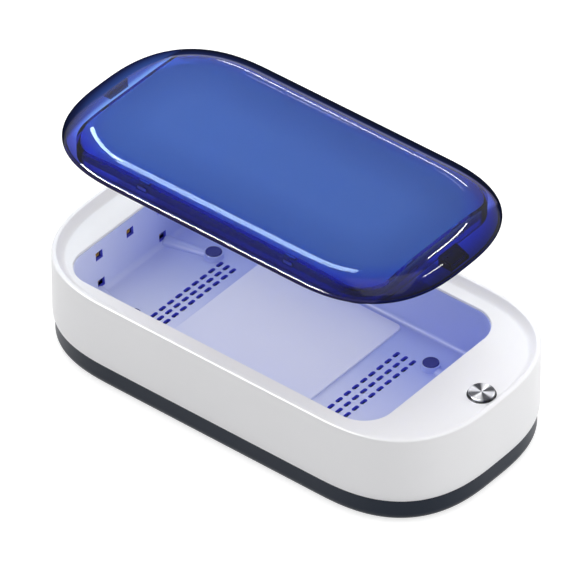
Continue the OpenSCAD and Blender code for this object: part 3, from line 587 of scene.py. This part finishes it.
def spun_metal():
    """Metal turned on a lathe: fine rings, a gloss that spreads along the spokes, and painted highlights in
    bright and dark sectors.
    """
    n = Nodes("spun_metal")
    shift = n.vector("SUBTRACT", n.place(), Vector((BUTTON_X, BUTTON_Y, 0)) * MM)
    flat = n.vector("MULTIPLY", shift, (1, 1, 0))
    reach = n.add("ShaderNodeVectorMath", operation="LENGTH")
    n.link(flat, reach.inputs[0])
    spread = n.add("ShaderNodeCombineXYZ")
    n.link(reach.outputs["Value"], spread.inputs["X"])
    rings = n.noise(LATHE_RINGS, 3, 0.7, spread.outputs[0])
    axes = n.split(flat)
    turn = n.math("ARCTAN2", axes["Y"], axes["X"])
    wave = n.math("SINE", n.math("ADD", n.math("MULTIPLY", turn, PAINTED_GLINT_SECTORS), PAINTED_GLINT_TURN))
    painted_glints = n.mix(n.ramp(wave, 0.0, 1.0, (-0.6, 0.7)), srgb("3C3D42"), srgb("DEDFE2"))
    n.link(n.mix(n.ramp(rings, 0.0, 0.25), painted_glints, srgb("8A8B8F")), n.shader.inputs["Base Color"])
    n.shader.inputs["Metallic"].default_value = 1.0
    n.shader.inputs["Roughness"].default_value = 0.28
    n.shader.inputs["Anisotropic"].default_value = 0.9
    tangent = n.add("ShaderNodeTangent", direction_type="RADIAL", axis="Z")
    n.link(tangent.outputs[0], n.shader.inputs["Tangent"])
    n.bump(rings, 0.25, 0.01)
    return n.material


def metal(name, code, rough=0.3):
    """Plain metal with fine scratches and uneven gloss."""
    n = Nodes(name)
    colour = srgb(code)
    n.shader.inputs["Metallic"].default_value = 1.0
    n.link(n.mix(n.noise(300, 3), shaded(colour, 0.8), colour), n.shader.inputs["Base Color"])
    n.link(n.ramp(n.noise(900, 3), rough * 0.7, rough * 1.4), n.shader.inputs["Roughness"])
    n.bump(n.noise(2500, 2), SCRATCH, GRAIN_H)
    return n.material


WHITE = moulded("white_plastic", "EFEFF1", 0.42, 0.02)
SLATE = moulded("slate_plastic", "131D2C", 0.38, 0.08, 0.15, specular=0.18)
LAVENDER = lavender()
# Painted shade: a dark blue for the walls of the vent slots and lamp windows, and for the lamp boards behind
# the windows
PAINTED_SHADE_BLUE = moulded("painted_shade_plastic", "6167F0", 0.5, 0.06, 0.1, specular=0.1)
PALE = moulded("plate_plastic", "D9DEF9", 0.35, 0.02, 0.06, specular=0.3, handled=0.06)
BLUE = clear_blue()
LINING = moulded("lining_plastic", "D8D0C8", 0.35, 0.02, 0.05)
RUBBER = moulded("dark_rubber", "26272B", 0.75, 0.2, 0.3)
PAD = moulded("pad_rubber", "2B2F86", 0.7, 0.15, 0.2, specular=0.15)
BLACK = moulded("black_plastic", "1B1C20", 0.35, 0.2, 0.1)
GREEN = moulded("board_lacquer", "1E6B42", 0.3, 0.25, 0.1)
NYLON = moulded("pale_nylon", "DAD8CF", 0.5, 0.08)
FERRITE = moulded("ferrite", "2C2E31", 0.6, 0.25, 0.3)
CERAMIC = moulded("lamp_ceramic", "C9A24A", 0.35, 0.15, 0.1)
SPUN = spun_metal()
STEEL = metal("screw_steel", "B9BBBE")
COPPER = metal("copper_wire", "B87345", 0.35)
NICKEL = metal("magnet_nickel", "85878C", 0.35)
DARK_METAL = metal("dark_metal", "3A3B3E")

NODE_MATERIALS = {
    RUBBER: ["rubber_feet"],
    PAD: ["post_pads"],
    STEEL: ["case_screws", "tub_screws", "lamp_board_screws", "button_board_screws", "main_board_screws",
            "charging_inlet"],
    COPPER: ["charging_coil"],
    FERRITE: ["ferrite_sheet", "power_inductor"],
    GREEN: ["button_board", "main_board"],
    WHITE: ["button_carrier"],
    # Painted shade: the lamp boards take the dark blue of the shade behind the windows
    PAINTED_SHADE_BLUE: ["lamp_board_left", "lamp_board_right"],
    CERAMIC: ["lamps_left", "lamps_right"],
    BLACK: ["push_switch", "switch_stem", "lid_sensor", "control_chips"],
    NYLON: ["ribbon_plugs", "ribbon_left", "ribbon_right", "ribbon_button"],
    NICKEL: ["housing_magnet_left", "housing_magnet_right", "lid_magnet_left", "lid_magnet_right"],
}


def dress_nodes():
    """Finishes on the nodes whose shape stays as it is."""
    for material, names in NODE_MATERIALS.items():
        for name in names:
            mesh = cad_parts[name].data
            mesh.materials.clear()
            mesh.materials.append(material)


# ---- Housing and tray ----

def housing():
    """The white shell: rounded lip, hollow slope down to the ledge, and the stepped openings."""
    outer = [(SEAM_INSET * (1 - math.cos(a)), SEAM_Z + SEAM_ROUND * (1 - math.sin(a))) for a in arc(8, 90, 0)]
    outer += [(LIP_ROUND * (1 - math.cos(a)), BODY_H - LIP_ROUND * (1 - math.sin(a))) for a in arc(8)]
    slope_h = LEDGE_DROP - LIP_CREST_H
    rise = [i / 16 for i in range(16)]
    recess = [(LIP_W - (LIP_W - LIP_TOP) * t, LEDGE_Z + slope_h * t ** LIP_SLOPE) for t in rise]
    recess += [(LIP_TOP + inwards, BODY_H - drop) for inwards, drop in LIP_CREST]
    shell = loft(BODY_L, BODY_W, BODY_R, BODY_P, outer)
    edge = CAVITY_EDGE
    opening = [(0, LEDGE_UNDER_Z - CUT), (0, LEDGE_Z - edge)]
    opening += [(-edge * (1 - math.cos(a)), LEDGE_Z - edge + edge * math.sin(a)) for a in arc(4)]
    opening += [(-edge, LEDGE_Z + CUT)]
    collar = TUB_OUT + FIT
    place = (BUTTON_X, BUTTON_Y, 0)
    ring_r = (RING_HI.x - RING_LO.x) / 2 - RING_FOOT
    mesh = combine(
        shell,
        ("DIFFERENCE", loft(BODY_L, BODY_W, BODY_R, BODY_P, recess)),
        ("DIFFERENCE", prism(BODY_L - 2 * BODY_WALL, BODY_W - 2 * BODY_WALL, BODY_R - BODY_WALL, BODY_P,
                             SEAM_Z - CUT, LEDGE_UNDER_Z)),
        ("DIFFERENCE", loft(CAVITY_L, CAVITY_W, CAVITY_R, 2, opening, (CAVITY_X, 0, 0))),
        ("DIFFERENCE", prism(CAVITY_L + 2 * collar, CAVITY_W + 2 * collar, CAVITY_R + collar, 2,
                             LEDGE_UNDER_Z - CUT, COLLAR_Z, (CAVITY_X, 0, 0))),
        ("DIFFERENCE", cylinder(ring_r + FIT / 4, LEDGE_UNDER_Z - CUT, LEDGE_Z + CUT, place)),
    )
    piece("white_housing", cleaned(mesh), "box", WHITE, ["housing"])


def stadium(length, width, steps):
    """Outline of a slot with round ends, long in x."""
    r = width / 2
    return [(side * (length / 2 - r) + r * math.cos(a), r * math.sin(a))
            for side, start in ((1, -90), (-1, 90)) for a in arc(steps, start, start + 180)]


def inlet_cut(length, height, depth, at):
    """A level slot with round ends that runs along -Y from its place."""
    rim = stadium(length, height, 16)
    return cleaned(skinned("slot", [[(at[0] + x, at[1] - d, at[2] + z) for x, z in rim] for d in (0, depth)]))


def tray():
    """The slate shell: rounded underside, tongue, and the recesses of the feet, screws and inlet."""
    rings = [(SEAM_INSET + TRAY_ROUND_W * (1 - math.cos(a)), TRAY_Z + TRAY_ROUND_H * (1 - math.sin(a)))
             for a in arc(12, 90, 0)]
    rings += [(SEAM_INSET, SEAM_Z - TRAY_EDGE), (SEAM_INSET + TRAY_EDGE, SEAM_Z)]
    top = TRAY_HI.z
    inner = TONGUE_INSET + TONGUE_T
    floor_z = TRAY_Z + TRAY_FLOOR
    feet_hi = millimetres("rubber_feet")[1]
    foot_x, foot_y = feet_hi.x - FOOT_R, feet_hi.y - FOOT_R
    inlet_lo, inlet_hi = millimetres("charging_inlet")
    inlet = Vector(((inlet_lo.x + inlet_hi.x) / 2, BODY_W / 2, (inlet_lo.z + inlet_hi.z) / 2))
    screw_lo, screw_hi = millimetres("case_screws")
    screw_ends = ((screw_lo.x + SCREW_HEAD_R, SCREWS_LEFT_Y), (screw_hi.x - SCREW_HEAD_R, SCREWS_RIGHT_Y))
    screws = [(x, side * y) for x, y in screw_ends for side in (1, -1)]
    steps = [
        ("UNION", prism(BODY_L - 2 * TONGUE_INSET, BODY_W - 2 * TONGUE_INSET, BODY_R - TONGUE_INSET, BODY_P,
                        SEAM_Z - CUT, top)),
        ("DIFFERENCE", prism(BODY_L - 2 * inner, BODY_W - 2 * inner, BODY_R - inner, BODY_P,
                             floor_z, top + CUT)),
    ]
    steps += [("DIFFERENCE", cylinder(FOOT_R + FIT / 2, -CUT, feet_hi.z, (x, y, 0)))
              for x in (-foot_x, foot_x) for y in (-foot_y, foot_y)]
    steps += [("DIFFERENCE", cylinder(SCREW_HEAD_R + FIT, -CUT, floor_z - TRAY_SKIN, (x, y, 0)))
              for x, y in screws]
    steps += [("DIFFERENCE", cylinder(SCREW_BORE_R, -CUT, floor_z + 2 * CUT, (x, y, 0))) for x, y in screws]
    steps += [("DIFFERENCE", inlet_cut(INLET_L, INLET_H, SEAM_INSET + inner + 4 * CUT, inlet)),
              ("DIFFERENCE", inlet_cut(INLET_DISH_L, INLET_DISH_H, SEAM_INSET + INLET_DISH_T, inlet))]
    mesh = combine(loft(BODY_L, BODY_W, BODY_R, BODY_P, rings), *steps)
    piece("slate_tray", cleaned(mesh), "box", SLATE, ["tray"])


# ---- Chamber ----

def tub_rings(out):
    """Rings of the tub's space, or of its outside where out is its wall."""
    fillet = TUB_FILLET + (TUB_FILLET_MORE if out else 0)
    low = FLOOR_Z - TUB_FLOOR if out else FLOOR_Z
    foot = TUB_STEP + TUB_DRAFT - out
    rings = [(foot + fillet * (1 - math.cos(a)), low + TUB_FILLET * (1 - math.sin(a)))
             for a in arc(8, 90, 0)]
    return rings + [(TUB_STEP - out, COLLAR_Z + (0 if out else CUT))]


def pill(x, y, z0, z1):
    """An upright slot with round ends, long across the box."""
    rim = stadium(SLOT_L, SLOT_W, 8)
    return skinned("pill", [[(x - across, y + along, z) for along, across in rim] for z in (z0, z1)])


def phone_post(x, y):
    """A post with a rounded rim, a flared foot and a shallow cup for its pad."""
    flare = POST_FOOT_R - POST_R
    foot = [(POST_R + flare * (1 - math.sin(a)), POST_FOOT_H * (1 - math.cos(a))) for a in arc(8)]
    cup = PAD_R + FIT / 2
    rim = [(POST_R - POST_ROUND * (1 - math.cos(a)), POST_H - POST_ROUND * (1 - math.sin(a)))
           for a in arc(4)]
    profile = [(0, -CUT), (POST_FOOT_R, -CUT)] + foot + rim
    profile += [(cup, POST_H), (cup, POST_H - PAD_SINK), (0, POST_H - PAD_SINK)]
    return turned(profile, (x, y, FLOOR_Z), 48)


def ridge(side, front):
    """A cone that lies half sunk in the floor, from a post to the end wall."""
    length = (CAVITY_L - POST_DX) / 2 - TUB_STEP - TUB_DRAFT + RIDGE_INTO_WALL - POST_R / 2
    turn = math.radians(RIDGE_TURN)
    start = Vector((POST_DX / 2 + POST_R / 2, POST_DY / 2, FLOOR_Z - RIDGE_SINK))
    along = Vector((math.cos(turn), -math.sin(turn), 0))
    across = Vector((math.sin(turn), math.cos(turn), 0))
    rings = []
    for reach, r in ((0, RIDGE_POST_R), (length, RIDGE_WALL_R)):
        circle = [start + along * reach + across * (r * math.cos(a)) + Vector((0, 0, r * math.sin(a)))
                  for a in arc(40, 0, 360)[:-1]]
        rings.append([(CAVITY_X + side * p.x, front * p.y, p.z) for p in circle])
    keep_h = 4 * RIDGE_WALL_R
    keep = box_mesh((CAVITY_L, CAVITY_W, keep_h), (CAVITY_X, 0, FLOOR_Z - CUT + keep_h / 2))
    return combine(cleaned(skinned("ridge", rings)), ("INTERSECT", keep))


NEAR = 0.1      # how far off, or how much out of level, a face may be and still count


def in_slot(face):
    """Whether a face of the chamber is the wall of a vent slot."""
    x, y, z = face.center / MM
    in_band = any(abs(x - CAVITY_X - middle) < pitch + SLOT_W / 2 + NEAR for middle, pitch in SLOT_BANDS)
    in_floor = FLOOR_Z - TUB_FLOOR - NEAR < z < FLOOR_Z + NEAR and abs(face.normal.z) < NEAR
    return in_band and in_floor and abs(y) < SLOTS * SLOT_PITCH_Y / 2


def in_window(face):
    """Whether a face of the chamber is the edge of a lamp window."""
    x, y, z = face.center / MM
    if abs(face.normal.x) > NEAR or abs(x - CAVITY_X) < (CAVITY_L - WINDOW_CUT) / 2:
        return False
    return any(abs(y - mid) < WINDOW_W / 2 + NEAR and abs(z - FLOOR_Z - rise) < WINDOW_H / 2 + NEAR
               for mid, rise in WINDOWS)


def chamber():
    """The lavender tub, with its posts, ridges, vent slots and lamp windows."""
    middle = (CAVITY_X, 0, 0)
    wide = TUB_OUT + FLANGE_W
    flange = prism(CAVITY_L + 2 * wide, CAVITY_W + 2 * wide, CAVITY_R + wide, 2,
                   LEDGE_UNDER_Z - FLANGE_T, LEDGE_UNDER_Z, middle)
    slots = [pill(CAVITY_X + x + row * pitch, (i - (SLOTS - 1) / 2) * SLOT_PITCH_Y,
                  FLOOR_Z - TUB_FLOOR - CUT, FLOOR_Z + CUT)
             for x, pitch in SLOT_BANDS for row in (-1, 0, 1) for i in range(SLOTS)]
    windows = [box_mesh((WINDOW_CUT, WINDOW_W, WINDOW_H), (CAVITY_X + side * CAVITY_L / 2, y, FLOOR_Z + z))
               for side in (-1, 1) for y, z in WINDOWS]
    steps = [("UNION", flange),
             ("DIFFERENCE", loft(CAVITY_L, CAVITY_W, CAVITY_R, 2, tub_rings(0), middle)),
             ("DIFFERENCE", joined(slots)),
             ("DIFFERENCE", joined(windows))]
    posts = [phone_post(CAVITY_X + i * POST_DX / 2, j * POST_DY / 2) for i in (-1, 1) for j in (-1, 1)]
    ridges = [ridge(i, j) for i in (-1, 1) for j in (-1, 1)]
    steps += [("UNION", mesh) for mesh in ridges + posts]
    mesh = combine(loft(CAVITY_L, CAVITY_W, CAVITY_R, 2, tub_rings(TUB_WALL), middle), *steps)
    shell = piece("chamber_shell", cleaned(mesh), "box", LAVENDER, ["chamber_tub"])
    # Painted shade: the walls of the vent slots and the edges of the lamp windows take the dark blue
    shell.data.materials.append(PAINTED_SHADE_BLUE)
    for face in shell.data.polygons:
        if in_slot(face) or in_window(face):
            face.material_index = 1


def plate():
    """The raised plate that a phone charges on, with a rounded top edge."""
    length, width = PLATE_HI.x - PLATE_LO.x, PLATE_HI.y - PLATE_LO.y
    edge, top = PLATE_EDGE, PLATE_HI.z
    rings = [(0, PLATE_LO.z), (0, top - edge)]
    rings += [(edge * (1 - math.cos(a)), top - edge + edge * math.sin(a)) for a in arc(5)][1:]
    mesh = loft(length, width, PLATE_R, 2, rings, ((PLATE_LO.x + PLATE_HI.x) / 2, 0, 0))
    piece("phone_plate", cleaned(mesh), "box", PALE, ["charging_plate"])


# ---- Button ----

def button():
    """The dished cap, and the ring that it moves in."""
    middle = (BUTTON_X, BUTTON_Y, 0)
    r, top, low = (CAP_HI.x - CAP_LO.x) / 2, CAP_HI.z, CAP_LO.z
    bevel = [(r - CAP_BEVEL_W * (1 - math.cos(a)), top - CAP_BEVEL_H * (1 - math.sin(a))) for a in arc(5)]
    dish = [(r * f, top - CAP_DISH * (1 - f * f)) for f in (0.85, 0.7, 0.55, 0.4, 0.25, 0.1)]
    profile = [(0, low), (r, low)] + bevel + dish + [(0, top - CAP_DISH)]
    cap = cleaned(turned(profile, middle))
    piece("spun_cap", cap, "button", SPUN, ["button_cap"], 40)
    foot_r = (RING_HI.x - RING_LO.x) / 2
    outer, inner, crest = foot_r - RING_FOOT, r + RING_GAP, RING_HI.z
    edge = [(outer - RING_ROUND * (1 - math.cos(a)), crest - RING_ROUND * (1 - math.sin(a))) for a in arc(5)]
    profile = [(inner, RING_LO.z), (foot_r, RING_LO.z), (foot_r, LEDGE_UNDER_Z), (outer, LEDGE_UNDER_Z)]
    profile += edge + [(inner + RING_CHAMFER, crest), (inner, crest - RING_CHAMFER)]
    ring = cleaned(turned(profile, middle))
    piece("dark_ring", ring, "box", DARK_METAL, ["button_ring"], 40)


# ---- Lid ----

# Points that the curve from the lid's rim up to its flat top is drawn from, as (inwards, z)
SHOULDER = ((0, 0), (0.2, SHOULDER_H * 0.37), (SHOULDER_W / 2, SHOULDER_H), (SHOULDER_W, SHOULDER_H))


def bend(t):
    """The shoulder's curve, for t from 0 to 1."""
    a, b, c, d = (Vector(p) for p in SHOULDER)
    return (1 - t) ** 3 * a + 3 * t * (1 - t) ** 2 * b + 3 * t * t * (1 - t) * c + t ** 3 * d


def shoulder_at(t, depth):
    """A point of the shoulder's curve, moved inwards by depth at a right angle to it."""
    way = (bend(min(t + 0.01, 1)) - bend(max(t - 0.01, 0))).normalized()
    p = bend(t)
    return (p.x + depth * way.y, p.y - depth * way.x)


def dome(depth, z0):
    """The dome's solid with its skin moved inwards by depth and its foot at z0."""
    if depth > 0:
        rings = [(shoulder_at(0, depth)[0], z0)]
    else:
        rings = [(RIM_R * (1 - math.cos(a)), -RIM_R * math.sin(a)) for a in arc(8, 90, 10)]
    rings += [shoulder_at(i / 24, depth) for i in range(25)]
    reach = LID_W / 2 - SHOULDER_W - CROWN_FLAT
    rings += [(SHOULDER_W + reach * f, SHOULDER_H - depth + CROWN_H * math.sin(math.pi / 2 * f))
              for f in (0.2, 0.4, 0.6, 0.8, 1.0)]
    return loft(LID_L, LID_W, LID_R, LID_P, rings, (LID_X, 0, LID_Z))


def skirt_prism(inset, z0, z1):
    """A block with the skirt's outline moved inwards, and heights from the lid's rim."""
    return prism(SKIRT_L - 2 * inset, SKIRT_W - 2 * inset, SKIRT_R - inset, 2, z0, z1, (CAVITY_X, 0, LID_Z))


def tab_places():
    """Middle of each snap tab on the skirt's inner face, and the way that it faces."""
    corners = [(i, j) for i in (-1, 1) for j in (-1, 1)]
    sides = [(CAVITY_X + i * TAB_DX / 2, j * (SKIRT_W / 2 - SKIRT_T), 0, j) for i, j in corners]
    ends = [(CAVITY_X + i * (SKIRT_L / 2 - SKIRT_T), j * TAB_DY / 2, i, 0) for i, j in corners]
    return sides + ends


def tab_blocks(back, front, grow):
    """Blocks at the snap tabs, reaching back and front of the skirt's inner face."""
    out = []
    for x, y, dx, dy in tab_places():
        painted_edge, mid = back + front, (front - back) / 2
        size = (painted_edge if dx else TAB_W + 2 * grow, painted_edge if dy else TAB_W + 2 * grow, TAB_H + 2 * grow)
        out.append(box_mesh(size, (x + dx * mid, y + dy * mid, LID_Z + TAB_Z + TAB_H / 2)))
    return joined(out)


def lid():
    """The clear dome with its skirt and magnet blocks, and the opaque liner that snaps into it."""
    magnets = [sum(c.x for c in millimetres(f"lid_magnet_{side}")) / 2 for side in ("left", "right")]
    wall = combine(skirt_prism(0, SKIRT_Z, SHOULDER_H),
                   ("DIFFERENCE", skirt_prism(SKIRT_T, SKIRT_Z - CUT, SHOULDER_H + CUT)),
                   ("INTERSECT", dome(LID_T / 2, SKIRT_Z - CUT)))
    blocks = combine(joined([box_mesh((MAGNET_W + 2 * MAGNET_WALL, MAGNET_L + 2 * MAGNET_WALL, SHOULDER_H),
                                      (x, 0, LID_Z + LID_MAGNET_Z + SHOULDER_H / 2)) for x in magnets]),
                     ("INTERSECT", dome(LID_T / 2, -RIM_R)))
    pocket_h = MAGNET_T + RIM_R
    pockets = joined([box_mesh((MAGNET_W + FIT, MAGNET_L + FIT, pocket_h),
                               (x, 0, LID_Z + LID_MAGNET_Z + MAGNET_T - pocket_h / 2)) for x in magnets])
    mesh = combine(dome(0, 0),
                   ("DIFFERENCE", dome(LID_T, -RIM_R - CUT)),
                   ("UNION", wall), ("UNION", blocks), ("DIFFERENCE", pockets),
                   ("DIFFERENCE", tab_blocks(CUT, SKIRT_T + CUT, FIT)))
    piece("clear_dome", cleaned(mesh), "lid", BLUE, ["lid_shell"])
    edge = SKIRT_T + FIT
    core = combine(skirt_prism(edge + LINING_T, LINING_Z - CUT, SHOULDER_H),
                   ("INTERSECT", dome(LID_T + LINING_GAP + LINING_T, LINING_Z - 2 * CUT)))
    mesh = combine(skirt_prism(edge, LINING_Z, SHOULDER_H),
                   ("INTERSECT", dome(LID_T + LINING_GAP, LINING_Z - CUT)),
                   ("DIFFERENCE", core),
                   ("UNION", tab_blocks(FIT + LINING_T / 2, SKIRT_T - TAB_SHORT, 0)))
    piece("lid_liner", cleaned(mesh), "lid", LINING, ["lid_lining"])


# ---- Studio ----

VIEW_TURN = 39.06       # degrees of azimuth, from the front towards the button end
VIEW_RISE = 39.0        # degrees of elevation
VIEW_AWAY = 3983.0
VIEW_LENS = 566.15
VIEW_AT = Vector((-0.77, -0.62, 48.3))
LAMPS_AT = Vector((0, 0, 60))
PLAIN_WHITE = (1, 1, 1)
PALE_BLUE = (0.66, 0.88, 1.0)
ROOM_BELOW = 0.53       # brightness of the room on matt surfaces
ROOM_ABOVE = 1.15
FLOOR_HALF = 6000.0
FLOOR_GREYS = ((0.52, 0.52, 0.52), (0.55, 0.55, 0.55))
FLOOR_GLOW = 0.68


def aimed(thing, place, target):
    """Puts a lamp or camera at a place, looking at its target."""
    thing.location = Vector(place) * MM
    thing.rotation_euler = (Vector(target) - Vector(place)).to_track_quat("-Z", "Y").to_euler()


def camera():
    """The camera of the photograph, far off with a very long lens."""
    turn, rise = math.radians(VIEW_TURN), math.radians(VIEW_RISE)
    back = Vector((math.sin(turn) * math.cos(rise), -math.cos(turn) * math.cos(rise), math.sin(rise)))
    lens = bpy.data.cameras.new("camera")
    lens.lens = VIEW_LENS
    lens.clip_start, lens.clip_end = 0.1, 50.0
    thing = bpy.data.objects.new("camera", lens)
    bpy.context.scene.collection.objects.link(thing)
    aimed(thing, VIEW_AT + back * VIEW_AWAY, VIEW_AT)
    bpy.context.scene.camera = thing


def lamp(name, size, strength, colour, seen):
    """An oblong lamp, where strength is how bright its face is, seen as "glossy", "matt" or "both"."""
    light = bpy.data.lights.new(name, "AREA")
    light.shape = "RECTANGLE"
    light.size, light.size_y = (s * MM for s in size)
    light.energy = strength * math.pi * light.size * light.size_y
    light.color = colour
    thing = bpy.data.objects.new(name, light)
    thing.visible_glossy = seen != "matt"
    thing.visible_diffuse = thing.visible_transmission = seen != "glossy"
    bpy.context.scene.collection.objects.link(thing)
    return thing


def softbox(name, direction, away, size, strength, seen="glossy"):
    """A lamp in a direction from the lid, facing it."""
    thing = lamp(name, size, strength, PLAIN_WHITE, seen)
    aimed(thing, LAMPS_AT + Vector(direction).normalized() * away, LAMPS_AT)


def strip(name, start, end, width, strength, colour=PLAIN_WHITE):
    """A narrow lamp that runs from one place to another and faces the lid, seen only in glosses."""
    start, end = Vector(start), Vector(end)
    middle = (start + end) / 2
    back = (middle - LAMPS_AT).normalized()
    along = (end - start).normalized()
    across = back.cross(along).normalized()
    thing = lamp(name, ((end - start).length, width), strength, colour, "glossy")
    turn = Matrix((across.cross(back), across, back)).transposed()
    thing.matrix_world = Matrix.Translation(middle * MM) @ turn.to_4x4()


def seen_through(tree):
    """1 for rays that show the background: straight, in a gloss or through glass."""
    path = tree.nodes.new("ShaderNodeLightPath")
    so_far = path.outputs["Is Camera Ray"]
    for kind in ("Is Glossy Ray", "Is Transmission Ray"):
        either = tree.nodes.new("ShaderNodeMath")
        either.operation = "MAXIMUM"
        tree.links.new(so_far, either.inputs[0])
        tree.links.new(path.outputs[kind], either.inputs[1])
        so_far = either.outputs[0]
    return so_far


def surroundings():
    """A white room, lighter overhead than at its sides, that shows as plain white."""
    world = bpy.data.worlds.new("studio")
    bpy.context.scene.world = world
    world.use_nodes = True
    tree = world.node_tree
    back = tree.nodes["Background"]
    back.inputs["Color"].default_value = (1, 1, 1, 1)
    split = tree.nodes.new("ShaderNodeSeparateXYZ")
    tree.links.new(tree.nodes.new("ShaderNodeTexCoord").outputs["Generated"], split.inputs[0])
    rise = tree.nodes.new("ShaderNodeMapRange")
    rise.inputs["To Min"].default_value = ROOM_BELOW
    rise.inputs["To Max"].default_value = ROOM_ABOVE
    tree.links.new(split.outputs["Z"], rise.inputs["Value"])
    level = tree.nodes.new("ShaderNodeMix")
    tree.links.new(seen_through(tree), level.inputs["Factor"])
    tree.links.new(rise.outputs["Result"], level.inputs["A"])
    level.inputs["B"].default_value = 1.0
    tree.links.new(level.outputs["Result"], back.inputs["Strength"])


def floor_finish():
    """A matt pale floor that keeps soft shadows and shows as plain white elsewhere."""
    n = Nodes("floor")
    n.link(n.mix(n.noise(3, 2), *FLOOR_GREYS), n.shader.inputs["Base Color"])
    n.shader.inputs["Roughness"].default_value = 0.9
    n.shader.inputs["Specular IOR Level"].default_value = 0.0
    n.shader.inputs["Emission Color"].default_value = (1, 1, 1, 1)
    glow = n.math("MULTIPLY", seen_through(n.tree), FLOOR_GLOW)
    n.link(glow, n.shader.inputs["Emission Strength"])
    return n.material


def studio():
    """Lamps, room and floor. Each strip and the first softbox make one of the lid's highlights."""
    strip("shoulder_strip", (-545, 235, 815), (-290, 330, 900), 120, 22, PALE_BLUE)
    strip("shoulder_end_strip", (-655, 372, 645), (-535, 240, 815), 50, 34, PALE_BLUE)
    softbox("rim_strip", (-0.489, -0.673, 0.555), 950, (840, 110), 150)
    strip("back_strip", (-560, 715, 415), (-290, 755, 530), 24, 18)
    strip("back_strip_inner", (-500, 650, 570), (-440, 690, 545), 14, 8)
    strip("back_strip_end", (-400, 690, 610), (-330, 715, 635), 14, 8)
    strip("end_arc_outer", (-150, 640, 745), (-100, 530, 845), 18, 70)
    strip("end_arc_inner", (194, 515, 834), (224, 380, 902), 18, 70)
    softbox("top", (0.1, 0.1, 1.0), 1300, (900, 700), 1.6, seen="both")
    softbox("right", (0.9, 0.55, 0.2), 1200, (500, 400), 3.8, seen="matt")
    softbox("left", (-0.8, 0.45, 0.45), 1200, (700, 400), 4.4, seen="matt")
    surroundings()
    corners = [(x * FLOOR_HALF, y * FLOOR_HALF, 0) for x, y in ((-1, -1), (1, -1), (1, 1), (-1, 1))]
    floor = new_object("floor", mesh_of("floor", corners, [(0, 1, 2, 3)]))
    floor.data.materials.append(floor_finish())
    bpy.context.scene.view_settings.view_transform = "Standard"


dress_nodes()
housing()
tray()
chamber()
plate()
button()
lid()
camera()
studio()
